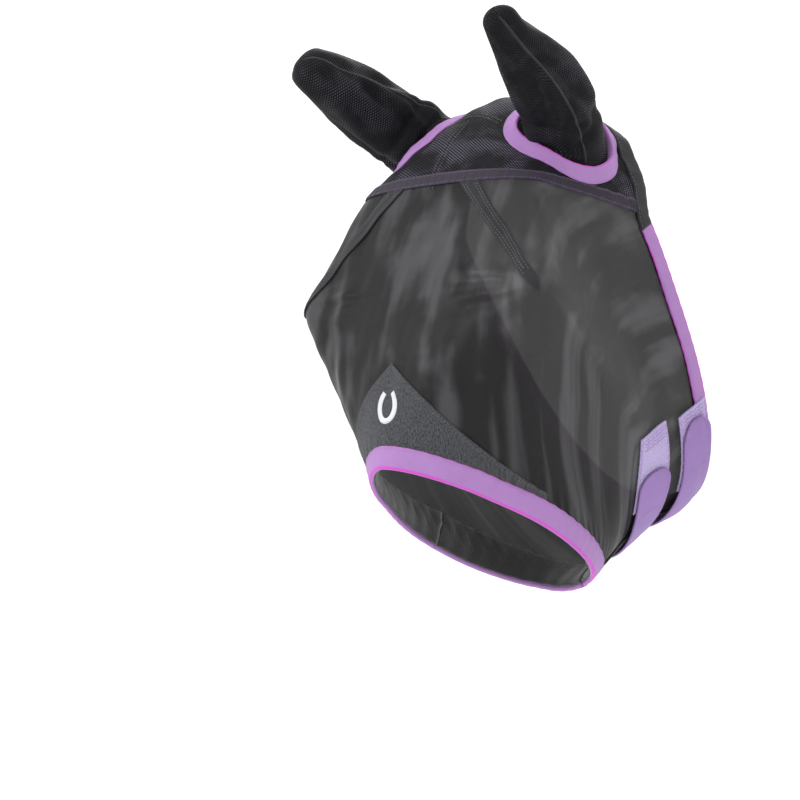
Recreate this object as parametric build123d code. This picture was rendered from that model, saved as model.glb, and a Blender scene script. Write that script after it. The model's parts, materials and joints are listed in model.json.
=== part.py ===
from build123d import *
import math
import os
from collections import namedtuple

# A fly mask for a horse: a see-through mesh hood with ear covers, worn over the head and closed under the
# jaw by two hook-and-loop straps.
#
# Frame: +Z up, -Y the way the horse faces, +X the horse's left (the near side). The origin is the crown seat,
# on the middle line at the top of the head between the ears. Millimetres and degrees.
#
# The hood follows a head form. The form's cross-sections stand in planes that fan out from one line behind
# the jaw, so a section's angle runs from the nose edge (low) to the poll (high). Each layer of cloth is the
# wall between two copies of the form, and each piece is that wall cut to its outline.

# ---- the head form -------------------------------------------------------------------------------
FAN_Y, FAN_Z = 304.5, -447.5  # the line that the section planes share, parallel to X
CHIN_Y, CHIN_Z = 113.0, -380.0  # under the jaw at the nose edge
THROAT_Y, THROAT_Z = 214.0, -310.0  # under the jaw at the rear edge

# front and ridge are distances from the fan line; the ridge is where a section is widest.
Station = namedtuple(
    "Station", "angle front ridge half_width roundness_front roundness_back"
)
STATIONS = (
    Station(9.0, 435, 300, 64, 1.6, 2.0),
    Station(14.0, 441, 312, 71, 1.6, 2.0),
    Station(19.3, 449, 332, 77, 1.65, 2.0),
    Station(25.0, 461, 392, 88, 1.95, 2.0),
    Station(31.0, 477, 444, 106, 2.1, 1.9),
    Station(36.3, 490, 470, 128, 2.2, 1.75),
    Station(41.5, 508, 484, 115, 2.2, 2.2),
    Station(46.5, 529, 496, 103, 2.1, 2.8),
    Station(51.5, 540, 462, 104, 1.8, 2.65),
    Station(57.0, 538, 432, 104, 1.7, 2.5),
    Station(62.0, 515, 412, 104, 1.75, 2.3),
    Station(68.0, 480, 392, 102, 1.8, 2.1),
)
SECTION_POINTS = 15  # points on one half of a section, from the front to the underside

# ---- cloth ---------------------------------------------------------------------------------------
MESH = 1.0  # the mesh and the crown cloth
TAPE = 0.9  # seam tapes and the nose patch
GAP = 0.1  # between cloths that are sewn together
BINDING = 1.4  # one side of a folded binding
BODY_GAP = 0.4  # between cloths that move apart
NOSE_BINDING_WIDTH = 18.0
REAR_BINDING_WIDTH = 14.0
SEAM_TAPE_WIDTH = 9.0
LINING = 4.0  # the padded band inside the nose edge
LINING_WIDTH = 32.0

# ---- seams and edges -----------------------------------------------------------------------------
NOSE_EDGE = (
    (-120.0, -309.0), (-60.0, -332.0), (30.0, -368.0), (74.0, -385.0), (90.0, -391.0), (102.0, -404.0),
)
# straight down from the poll, then to the throat
REAR_EDGE = ((80.0, 100.0), (80.0, -95.0), (214.0, -310.0))
BROW_FRONT = (-64.0, -73.0)  # the brow seam in side view, (y, z)
BROW_REAR = (84.0, -95.0)
BROW_TAPE_WIDTH = 11.0
BINDING_JOIN_Z = -101.0  # where the poll binding meets the rear binding
POLL_SEAM_Y = -16.0
POLL_HALF_WIDTHS = (34.0, 64.0)  # of the poll panel, at its front seam and at the rear edge
POLL_FLOOR = -75.0  # below the poll panel, above everything under it
CLOSURE_X = 22.0  # where the jaw flap meets the near side, under the jaw
CLOSURE_GAP = 1.6

# ---- darts over the eyes, in front view (x, z) ---------------------------------------------------
DART_TOP = ((17.5, -60.0), (38.5, -60.0))
DART_TIP = ((130.0, -160.0), (127.0, -167.0))
DART_REAR = ((0.0, -30.0), (140.0, -79.0))  # in top view (x, y): a dart stays ahead of this line

# ---- nose patch: a triangle whose apex stands on the middle line ---------------------------------
PATCH_APEX = (0.0, -115.0, -221.0)
PATCH_EDGE_NORMAL = (0.88, 0.36, 1.0)  # of the plane that trims its near edge
PATCH_REAR_Y = -12.0  # where its tails end, ahead of the jaw flap

# ---- ear openings and covers, near side ----------------------------------------------------------
EAR_CENTRE = (73.0, 15.0, -34.0)
EAR_NORMAL = (0.683, -0.31, 0.66)
EAR_ALONG = (0.279, 0.925, 0.259)  # across the opening, front to back
EAR_HOLE = 39.5  # the opening's radius
RING_LAP = 1.3  # of a ring over the opening
RING_WIDTH = 11.8
RING_INNER = EAR_HOLE - RING_LAP
RING_OUTER = RING_INNER + RING_WIDTH
RING = 2.6
EAR_CUT = 60.0  # how far the opening's cutter reaches either way
EAR_CLEARANCE = 1.8  # of a cover's foot inside its ring
EAR_FOOT = RING_INNER - EAR_CLEARANCE
EAR_FOOT_DEPTH = 9.0  # how far the foot of a cover goes into the hood
# from the opening's centre; a soft cover flops
EAR_TIPS = {"near": (36.0, -126.0, 93.0), "off": (38.0, -126.0, 68.0)}
EAR_RISE = 34.0  # how far the cover leaves along the opening's normal before it turns
EAR_TURN = 60.0  # how far before the tip it has turned
EAR_FLATNESS = 0.88  # side to side against front to back, at the tip
EAR_CLOTH = 1.2
EAR_PROFILE = (
    (0.0, 0.89), (0.12, 0.92), (0.25, 0.91), (0.42, 0.83), (0.6, 0.74),
    (0.78, 0.64), (0.9, 0.52), (0.97, 0.38), (1.0, 0.2),
)
EAR_SECTION_POINTS = 9

# ---- straps --------------------------------------------------------------------------------------
STRAP_WIDTH = 38.0
STRAP_LEAN = 30.0  # of the straps, back from straight down
# the middle of each patch's top edge
LOOP_PATCH_TOPS = {"upper": (149.0, -246.0), "lower": (102.0, -268.0)}
STRAP_TIP_DROPS = {"upper": 9.0, "lower": 34.0}  # from a patch's top edge to the strap's tip
# the upper strap also lies on the binding
STRAP_BASES = {"upper": MESH + 2 * GAP + BINDING, "lower": MESH + GAP}
STRAP = 1.6
HOOK_PAD = 1.1
LOOP_PATCH = 1.5
HOOK_MARGIN = 2.0
HOOK_LENGTH = 42.0
PATCH_LENGTH = 66.0
STRAP_ROOT_X = -24.0  # where a strap leaves its sewn anchor
ANCHOR_X = (-62.0, -8.0)

# ---- the jaw flap: its hinge line on the off cheek, in side view ---------------------------------
HINGE_NOSE = (26.0, -349.5)
HINGE_REAR = (172.0, -244.0)
HINGE_GAP = 1.2

FAR = 600.0  # larger than the mask


# ---- directions in side view ---------------------------------------------------------------------
def unit(y, z):
    size = math.hypot(y, z)
    return y / size, z / size


def crossing(point_a, run_a, point_b, run_b):
    """Where two lines of the side view meet."""
    spread = run_a[0] * run_b[1] - run_a[1] * run_b[0]
    away = ((point_b[0] - point_a[0]) * run_b[1] - (point_b[1] - point_a[1]) * run_b[0]) / spread
    return point_a[0] + away * run_a[0], point_a[1] + away * run_a[1]


def moved(point, direction, distance):
    return tuple(p + d * distance for p, d in zip(point, direction))


# ---- cutters -------------------------------------------------------------------------------------
def side_prism(points, x_from=-FAR, x_to=FAR):
    """A prism along X whose outline is given in side view."""
    outline = Wire.make_polygon([Vector(x_from, y, z) for y, z in points], close=True)
    return Solid.extrude(Face(outline), Vector(x_to - x_from, 0, 0))


def front_prism(points, y_from, y_to):
    outline = Wire.make_polygon([Vector(x, y_from, z) for x, z in points], close=True)
    return Solid.extrude(Face(outline), Vector(0, y_to - y_from, 0))


def top_prism(points, z_from, z_to):
    outline = Wire.make_polygon([Vector(x, y, z_from) for x, y in points], close=True)
    return Solid.extrude(Face(outline), Vector(0, 0, z_to - z_from))


def half_space(point, normal):
    """All that lies on the side of a plane that its normal points away from."""
    block = Solid.make_box(2 * FAR, 2 * FAR, FAR, Plane((-FAR, -FAR, -FAR)))
    return Plane(origin=point, z_dir=normal).location * block


def block(x_from=-FAR, x_to=FAR, y_from=-FAR, y_to=FAR, z_from=-FAR, z_to=FAR):
    return Solid.make_box(x_to - x_from, y_to - y_from, z_to - z_from, Plane((x_from, y_from, z_from)))


def drawn_in(points, distance):
    """An open line of the side view, moved into the hood by a distance, and drawn out at both ends."""
    runs = [unit(b[0] - a[0], b[1] - a[1]) for a, b in zip(points, points[1:])]
    starts = [moved(point, (run[1], -run[0]), distance) for point, run in zip(points, runs)]
    corners = [crossing(*pair) for pair in zip(starts, runs, starts[1:], runs[1:])]
    return [moved(starts[0], runs[0], -FAR)] + corners + [moved(starts[-1], runs[-1], FAR)], runs


def outline(rear=0.0, nose=0.0):
    """The hood's outline in side view, drawn in from its rear edge and its nose edge."""
    rear_line, rear_runs = drawn_in(REAR_EDGE, rear)
    nose_line, nose_runs = drawn_in(NOSE_EDGE[::-1], nose)
    meeting = crossing(rear_line[-1], rear_runs[-1], nose_line[0], nose_runs[0])
    return side_prism(rear_line[:-1] + [meeting] + nose_line[1:] + [(nose_line[-1][0], FAR)])


def above_brow(shift=0.0):
    run = unit(BROW_REAR[0] - BROW_FRONT[0], BROW_REAR[1] - BROW_FRONT[1])
    up = (-run[1], run[0])
    start = moved(moved(BROW_FRONT, up, shift), run, -FAR)
    end = moved(start, run, 2 * FAR)
    return side_prism([start, end, (end[0], FAR), (start[0], FAR)])


def flap_zone(grow=0.0):
    """Where the jaw flap is: under the hinge line, and on the off side of the closure."""
    run = unit(HINGE_REAR[0] - HINGE_NOSE[0], HINGE_REAR[1] - HINGE_NOSE[1])
    start = moved(moved(HINGE_NOSE, (-run[1], run[0]), grow), run, -FAR)
    end = moved(start, run, 2 * FAR)
    return side_prism([start, end, (end[0], -2 * FAR), (start[0], -2 * FAR)], x_to=CLOSURE_X + grow)


# ---- the form ------------------------------------------------------------------------------------
def section(station, offset):
    """The outline of one section of the form, moved outwards by offset, as points."""
    up, out = math.sin(math.radians(station.angle)), math.cos(math.radians(station.angle))
    under = crossing((FAN_Y, FAN_Z), (-out, up), (CHIN_Y, CHIN_Z), (THROAT_Y - CHIN_Y, THROAT_Z - CHIN_Z))
    back = math.hypot(FAN_Y - under[0], under[1] - FAN_Z)

    def corner(turn):
        bend = station.roundness_front if turn <= 90 else station.roundness_back
        depth = station.front - station.ridge if turn <= 90 else back - station.ridge
        sine, cosine = abs(math.sin(math.radians(turn))), abs(math.cos(math.radians(turn)))
        return station.half_width * sine ** (2 / bend), station.ridge + depth * cosine ** (2 / bend)

    half = []
    for i in range(SECTION_POINTS):
        turn = 180 * i / (SECTION_POINTS - 1)
        x, reach = corner(turn)
        ahead, behind = corner(min(turn + 1, 180)), corner(max(turn - 1, 0))
        run_x, run_reach = ahead[0] - behind[0], ahead[1] - behind[1]
        if i in (0, SECTION_POINTS - 1):
            x, run_x, run_reach = 0.0, (1.0 if i == 0 else -1.0), 0.0
        run = math.hypot(run_x, run_reach)
        x, reach = x - offset * run_reach / run, reach + offset * run_x / run
        half.append((x, FAN_Y - reach * out, FAN_Z + reach * up))
    return half + [(-x, y, z) for x, y, z in half[-2:0:-1]]


FORMS = {}


def form(offset):
    """The solid head form, moved outwards by offset."""
    key = round(offset, 3)
    if key not in FORMS:
        outlines = [[Vector(*p) for p in section(station, key)] for station in STATIONS]
        wires = [Wire([Edge.make_spline(points, periodic=True)]) for points in outlines]
        FORMS[key] = Solid.make_loft(wires)
    return FORMS[key]


def layer(inner, outer):
    """The wall between two copies of the form, open at the nose and at the poll."""
    hollow, body = form(inner), form(outer)
    skins = [max(solid.faces(), key=lambda face: face.area) for solid in (hollow, body)]
    flats = [solid.faces().filter_by(GeomType.PLANE) for solid in (hollow, body)]
    ends = [sorted(faces, key=lambda face: face.center().Z) for faces in flats]
    rims = [Face(big.outer_wire(), [small.outer_wire()]) for small, big in zip(*ends)]
    return Solid(Shell(skins + rims))


def largest(shape):
    return max(shape.solids(), key=lambda solid: solid.volume)


def across(solid):
    """The same piece on the off side."""
    return solid.mirror(Plane.YZ)


# ---- the hood ------------------------------------------------------------------------------------
def ear_cylinder(radius):
    """A round cutter through the near ear opening."""
    return ear_frame().location * Solid.make_cylinder(radius, 2 * EAR_CUT, Plane((0, 0, -EAR_CUT)))


def poll_zone(grow=0.0):
    """Where the poll panel is, between the ears."""
    front, rear = (half + grow for half in POLL_HALF_WIDTHS)
    front_y, rear_y = POLL_SEAM_Y - grow, REAR_EDGE[1][0] + grow
    corners = [(-front, front_y), (front, front_y), (rear, rear_y), (-rear, rear_y)]
    return top_prism(corners, POLL_FLOOR, FAR)


def hood_panels():
    hood = layer(0, MESH) & outline()
    crown = hood & above_brow(GAP / 2)
    hole = ear_cylinder(EAR_HOLE)
    sides = (crown - poll_zone(GAP)) - block(x_from=-GAP / 2, x_to=GAP / 2) - hole - across(hole)
    lower = hood - above_brow(-GAP / 2)
    return {
        "face_mesh": largest(lower - flap_zone(HINGE_GAP)),
        "flap_mesh": largest(lower & flap_zone()),
        "near_crown_panel": largest(sides & block(x_from=0)),
        "off_crown_panel": largest(sides & block(x_to=0)),
        "poll_panel": largest(((crown & poll_zone()) - hole) - across(hole)),
    }


def outer_tape():
    """The layer that tapes and patches on the outside are cut from."""
    return layer(MESH + GAP, MESH + GAP + TAPE)


def seam_tapes():
    tape = outer_tape()
    inside_edges = outline(REAR_BINDING_WIDTH + GAP, NOSE_BINDING_WIDTH + GAP)
    ahead = top_prism([(0.0, -FAR), *DART_REAR, (DART_REAR[1][0], -FAR)], -FAR, FAR)
    dart = front_prism([*DART_TOP, *DART_TIP], -FAR, FAR) & ahead
    front = tape - above_brow(-1.0 - GAP)
    ring = ear_cylinder(RING_OUTER + GAP)
    brow = (tape & inside_edges & above_brow(-1.0)) - above_brow(BROW_TAPE_WIDTH) - ring - across(ring)
    half = SEAM_TAPE_WIDTH / 2
    lining = layer(-GAP - TAPE, -GAP) & above_brow()
    seam = block(-POLL_HALF_WIDTHS[0], POLL_HALF_WIDTHS[0], POLL_SEAM_Y - half, POLL_SEAM_Y + half, -80)
    poll = lining & seam
    return {
        "near_dart_tape": largest(front & dart),
        "off_dart_tape": largest(front & across(dart)),
        "brow_tape": largest(brow),
        "crown_centre_tape": largest(lining & block(-half, half, -FAR, POLL_SEAM_Y - half - GAP)),
        "poll_seam_tape": largest(poll),
    }


def nose_patch():
    near = half_space(PATCH_APEX, PATCH_EDGE_NORMAL)
    tape = outer_tape() & outline(0, NOSE_BINDING_WIDTH + GAP) & block(y_to=PATCH_REAR_Y)
    return largest(tape & near & across(near))


def ear_rings():
    wall = layer(MESH + GAP, MESH + GAP + RING)
    tube = ear_cylinder(RING_OUTER) - ear_cylinder(RING_INNER)
    return {"near_ear_ring": largest(wall & tube), "off_ear_ring": largest(wall & across(tube))}


def bindings():
    """The folded bindings of the nose edge and the rear edge, each with the slot that takes the mesh."""
    fold = layer(-BINDING - GAP, MESH + GAP + BINDING)
    slot = layer(-GAP, MESH + GAP)
    keep, lose = flap_zone(), flap_zone(HINGE_GAP)
    nose = (fold & outline(-FAR / 2, -BINDING)) - outline(-FAR / 2, NOSE_BINDING_WIDTH)
    nose = nose - (slot & outline(-FAR / 2, -GAP))
    rear = ((fold & outline(-BINDING)) - outline(REAR_BINDING_WIDTH)) - (slot & outline(-GAP))
    below = half_space((0, 0, BINDING_JOIN_Z), (0, 0, 1))
    cheeks = (rear & below) - lose
    near, off = (largest(cheeks & block(x_from=0)), largest(cheeks & block(x_to=0)))
    return {
        "nose_binding": largest(nose - lose),
        "flap_nose_binding": largest(nose & keep),
        "poll_binding": largest(rear - half_space((0, 0, BINDING_JOIN_Z + GAP), (0, 0, 1))),
        "near_rear_binding": near,
        "off_rear_binding": off,
        "flap_rear_binding": largest(rear & keep),
    }


def nose_lining():
    top = -BINDING - 2 * GAP
    band = (layer(top - LINING, top) & outline(-FAR / 2, 0)) - outline(-FAR / 2, LINING_WIDTH)
    return {
        "nose_lining": largest(band - flap_zone(HINGE_GAP)),
        "flap_nose_lining": largest(band & flap_zone()),
    }


def closure_tapes():
    """The tapes along the two edges that meet under the jaw."""
    under = outer_tape() & outline(REAR_BINDING_WIDTH + GAP, NOSE_BINDING_WIDTH + GAP)
    under = under & side_prism([(0, -FAR), (0, -335), (FAR / 2, -335 + FAR / 2 * 0.73), (FAR, -FAR)])
    near_edge = CLOSURE_X + CLOSURE_GAP
    return {
        "near_edge_tape": largest(under & block(x_from=near_edge, x_to=near_edge + SEAM_TAPE_WIDTH)),
        "flap_edge_tape": largest(under & block(x_from=CLOSURE_X - SEAM_TAPE_WIDTH, x_to=CLOSURE_X)),
    }


# ---- the straps ----------------------------------------------------------------------------------
def strap_outline(which, drop, width, length=FAR, rounded=False):
    """A cutter for a length of one strap, starting below the top edge of its loop patch, in side view."""
    run = (math.sin(math.radians(STRAP_LEAN)), -math.cos(math.radians(STRAP_LEAN)))
    inwards = (run[1], -run[0])
    start = moved(LOOP_PATCH_TOPS[which], run, drop)
    end = moved(start, run, length)
    if rounded:
        start = moved(start, run, width / 2)
    corners = [moved(start, inwards, -width / 2), moved(end, inwards, -width / 2)]
    corners += [moved(end, inwards, width / 2), moved(start, inwards, width / 2)]
    cutter = side_prism(corners)
    if rounded:
        off_side = Plane((-FAR, start[0], start[1]), z_dir=(1, 0, 0))
        cutter = cutter + Solid.make_cylinder(width / 2, 2 * FAR, off_side)
    return cutter


def strap_set(which):
    """One strap with its hook pad, its loop patch on the near cheek and its sewn anchor."""
    base = STRAP_BASES[which]
    pad = base + LOOP_PATCH + BODY_GAP
    webbing = pad + HOOK_PAD + GAP
    tip = STRAP_TIP_DROPS[which]
    near = block(x_from=0)
    length = strap_outline(which, tip, STRAP_WIDTH, rounded=True)
    hook_width = STRAP_WIDTH - 2 * HOOK_MARGIN
    hooks = strap_outline(which, tip + HOOK_MARGIN, hook_width, HOOK_LENGTH, rounded=True)
    loops = strap_outline(which, 0.0, STRAP_WIDTH, PATCH_LENGTH)
    sewn = strap_outline(which, 0.0, STRAP_WIDTH)
    return {
        which + "_strap": largest(layer(webbing, webbing + STRAP) & length & block(x_from=STRAP_ROOT_X)),
        which + "_hook_pad": largest(layer(pad, pad + HOOK_PAD) & hooks & near),
        which + "_loop_patch": largest(layer(base, base + LOOP_PATCH) & loops & near),
        which + "_strap_anchor": largest(layer(base, base + STRAP) & sewn & block(*ANCHOR_X)),
    }


# ---- the ear covers ------------------------------------------------------------------------------
def ear_frame():
    return Plane(origin=EAR_CENTRE, x_dir=EAR_ALONG, z_dir=EAR_NORMAL)


def ear_place(ear, progress):
    """The middle of an ear cover's section, and its directions front to back, side to side and on."""
    frame = ear_frame()
    reach = Vector(*EAR_TIPS[ear])
    before_tip = reach - reach.normalized() * EAR_TURN
    knots = [frame.z_dir * -EAR_FOOT_DEPTH, frame.z_dir * EAR_RISE, before_tip, reach]
    left = 1 - progress
    weights = (left**3, 3 * left**2 * progress, 3 * left * progress**2, progress**3)
    turning = 6 * left * progress
    slopes = (-3 * left**2, 3 * left**2 - turning, turning - 3 * progress**2, 3 * progress**2)
    middle, run = Vector(*EAR_CENTRE), Vector(0, 0, 0)
    for knot, weight, slope in zip(knots, weights, slopes):
        middle, run = middle + knot * weight, run + knot * slope
    run = run.normalized()
    along = (frame.x_dir - run * frame.x_dir.dot(run)).normalized()
    return middle, along, run.cross(along)


def ear_wire(ear, back, progress, scale):
    """One panel's section: the cloth between the outer and the inner half ellipse."""
    middle, along, side = ear_place(ear, progress)
    flatness = 1 + (EAR_FLATNESS - 1) * progress
    turns = [math.pi * i / (EAR_SECTION_POINTS - 1) - math.pi / 2 for i in range(EAR_SECTION_POINTS)]
    facing = along if back else -along
    outer, inner = (
        [
            middle + facing * (GAP / 2 + (EAR_FOOT * scale - shrink) * math.cos(turn))
            + side * ((EAR_FOOT * scale * flatness - shrink) * math.sin(turn))
            for turn in turns
        ]
        for shrink in (0, EAR_CLOTH)
    )
    edges = [Edge.make_spline(outer), Edge.make_line(outer[-1], inner[-1])]
    edges += [Edge.make_spline(inner[::-1]), Edge.make_line(inner[0], outer[0])]
    return Wire(edges)


def ear_covers():
    made = {}
    for ear in EAR_TIPS:
        for name, back in (("front", False), ("back", True)):
            panel = Solid.make_loft([ear_wire(ear, back, *row) for row in EAR_PROFILE])
            made[f"{ear}_ear_{name}_panel"] = panel if ear == "near" else across(panel)
    return made


def pieces():
    made = hood_panels()
    made.update(seam_tapes())
    made["nose_patch"] = nose_patch()
    straps = (strap_set("upper"), strap_set("lower"))
    for group in (ear_rings(), bindings(), nose_lining(), closure_tapes(), *straps, ear_covers()):
        made.update(group)
    return made


if __name__ == "__main__":
    os.makedirs("parts", exist_ok=True)
    for name, solid in pieces().items():
        export_step(solid, f"parts/{name}.step")
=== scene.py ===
import json
import math

import bmesh
import bpy
import numpy as np
from bpy.props import FloatProperty, FloatVectorProperty, IntProperty, PointerProperty
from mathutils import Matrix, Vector
from mathutils.bvhtree import BVHTree


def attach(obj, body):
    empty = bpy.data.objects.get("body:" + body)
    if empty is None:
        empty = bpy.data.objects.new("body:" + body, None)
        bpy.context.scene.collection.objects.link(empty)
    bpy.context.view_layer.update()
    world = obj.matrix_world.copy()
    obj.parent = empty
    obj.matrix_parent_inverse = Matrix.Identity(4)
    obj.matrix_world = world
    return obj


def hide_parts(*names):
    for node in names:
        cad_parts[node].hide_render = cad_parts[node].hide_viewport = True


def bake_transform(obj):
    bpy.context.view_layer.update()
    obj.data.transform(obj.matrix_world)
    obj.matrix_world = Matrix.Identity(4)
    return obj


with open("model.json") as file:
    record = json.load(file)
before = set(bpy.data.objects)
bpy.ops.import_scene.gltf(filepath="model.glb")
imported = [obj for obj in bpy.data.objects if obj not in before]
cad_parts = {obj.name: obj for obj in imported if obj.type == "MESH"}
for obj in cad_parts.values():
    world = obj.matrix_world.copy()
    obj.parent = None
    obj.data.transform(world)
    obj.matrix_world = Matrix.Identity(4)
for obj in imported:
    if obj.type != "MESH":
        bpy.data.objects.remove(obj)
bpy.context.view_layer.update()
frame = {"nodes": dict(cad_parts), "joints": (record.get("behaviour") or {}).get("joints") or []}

bl_info = {
    "name": "Fly mask",
    "version": (1, 0, 0),
    "blender": (4, 5, 0),
    "location": "View3D > Sidebar > Fly mask",
    "description": "Sews a horse's fly mask on the packed parts of its hood",
    "category": "Object",
}

MM = 0.001  # all lengths below are in millimetres until a mesh is made

# ---- the hood's lines in side view, as (y, z) ------------------------------------------------
FAN_Y, FAN_Z = 304.5, -447.5  # the sections of the head fan out from here
AXIS_REACH = 340.0  # the middle of a section, from the fan line
NOSE_EDGE = ((102, -404), (90, -391), (74, -385), (30, -368), (-60, -332), (-120, -309))
REAR_EDGE = ((80, 100), (80, -95), (214, -310))
BROW = ((-64, -73), (84, -95))
HINGE = ((26, -349.5), (172, -244))
CLOSURE_X = 22.0
CLOSURE_GAP = 1.6
POLL_SEAM_Y = -16.0
POLL_HALF_WIDTHS = (34.0, 64.0)
BINDING_JOIN_Z = -101.0
BROW_TAPE = 11.0

# ---- layers, as heights over the head form -----------------------------------------------------
CLOTH = (0.1, 0.95)
TAPE = (1.1, 2.0)
FOLD_INNER, FOLD_OUTER = (-1.5, -0.15), (1.1, 2.5)
RING = (1.1, 3.7)
LINING = (-5.6, -1.6)
STRAP_BASES = {"upper": 2.6, "lower": 1.1}
LOOP_PATCH, HOOK_PAD, WEBBING, BODY_GAP = 1.5, 1.1, 1.6, 0.4

# ---- seams, patch and straps -------------------------------------------------------------------
DART_TOP = ((17.5, -60.0), (38.5, -60.0))
DART_TIP = ((127.0, -167.0), (130.0, -160.0))
DART_REAR = (-30.0, 0.35)  # a dart stays ahead of this y, less this share of its distance off the middle
PATCH_APEX = (0.0, -115.0, -221.0)
PATCH_NORMAL = (0.88, 0.36, 1.0)
STRAP_LEAN = math.radians(30)
STRAP_WIDTH = 38.0
STRAP_TOPS = {"upper": (149.0, -246.0), "lower": (102.0, -268.0)}
STRAP_TIPS = {"upper": 9.0, "lower": 34.0}
PATCH_LENGTH = 66.0
STRAP_ROOT_X = -24.0
ANCHOR_X = (-62.0, -8.0)
NOSE_WIDTH, REAR_WIDTH, LINING_WIDTH = 18.0, 14.0, 32.0

# ---- ears --------------------------------------------------------------------------------------
EAR_NORMAL = np.array((0.683, -0.31, 0.66))
EAR_ALONG = np.array((0.279, 0.925, 0.259))
EAR_HOLE, RING_INNER, RING_OUTER = 39.5, 38.2, 50.0
EAR_SHAPES = {"near": (0.945, 0.34, 3.0), "off": (1.0, 0.02, 10.0)}  # length, taper, bulge of the back
RING_STAND = 6.5  # how far a ring's inner edge stands up round the ear
EAR_TIPS = {"near": (36.0, -126.0, 93.0), "off": (38.0, -126.0, 68.0)}
EAR_FOOT, EAR_FOOT_DEPTH, EAR_RISE, EAR_TURN = 36.4, 9.0, 34.0, 60.0
EYE = np.array((128.0, -74.0, -169.0))  # the widest point, where the near dart ends


# ---- small vector helpers ----------------------------------------------------------------------
def normalised(vectors):
    return vectors / np.maximum(np.linalg.norm(vectors, axis=-1, keepdims=True), 1e-9)


def smoothstep(value):
    value = np.clip(value, 0, 1)
    return value * value * (3 - 2 * value)


def side_distance(line):
    """A condition: the distance in side view from an open line, positive on its right."""
    corners = np.array(line, float)

    def condition(points):
        flat = points[:, 1:3]
        best = np.full(len(flat), 1e9)
        for i, (start, end) in enumerate(zip(corners, corners[1:])):
            run = end - start
            size = np.linalg.norm(run)
            run = run / size
            low = -1e9 if i == 0 else 0.0
            high = 1e9 if i == len(corners) - 2 else size
            along = np.clip((flat - start) @ run, low, high)
            apart = flat - start - along[:, None] * run
            side = np.sign((flat - start) @ np.array((run[1], -run[0])))
            distance = side * np.linalg.norm(apart, axis=1)
            best = np.where(np.abs(distance) < np.abs(best), distance, best)
        return best

    return condition


inside_nose = side_distance(NOSE_EDGE)
inside_rear = side_distance(REAR_EDGE)
above_brow = side_distance(BROW[::-1])
below_hinge = side_distance(HINGE)


def in_flap(points):
    return np.minimum(below_hinge(points), CLOSURE_X - points[:, 0])


def on_hood(points):
    closing = points[:, 0] - CLOSURE_X - CLOSURE_GAP
    return np.maximum(-below_hinge(points), closing)


def in_poll(points):
    front, rear = POLL_HALF_WIDTHS
    spread = (rear - front) / (REAR_EDGE[0][0] - POLL_SEAM_Y)
    flare = front + (points[:, 1] - POLL_SEAM_Y) * spread
    return np.minimum(flare - np.abs(points[:, 0]), points[:, 1] - POLL_SEAM_Y)


def ear_frame(side):
    """The centre of an ear opening and its directions: front to back, side to side, outwards."""
    name = "near_ear_tip" if side > 0 else "off_ear_tip"
    joint = next(j for j in frame["joints"] if j["name"] == name)
    mirror = np.array((side, 1, 1))
    normal = normalised(EAR_NORMAL)
    along = EAR_ALONG - normal * (EAR_ALONG @ normal)
    along = normalised(along)
    across = np.cross(normal, along)
    return np.array(joint["pos_m"]) / MM, along * mirror, across * mirror, normal * mirror


def from_ear(side):
    """A condition: the distance from the axis of an ear opening."""
    centre, _, _, normal = ear_frame(side)

    def condition(points):
        away = points - centre
        return np.linalg.norm(away - (away @ normal)[:, None] * normal, axis=1)

    return condition


# ---- the surface of the hood -------------------------------------------------------------------
def tree_of(*names):
    corners, faces = [], []
    for name in names:
        mesh = frame["nodes"][name].data
        start = len(corners)
        corners.extend(v.co / MM for v in mesh.vertices)
        faces.extend([start + i for i in p.vertices] for p in mesh.polygons)
    return BVHTree.FromPolygons(corners, faces)


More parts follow.
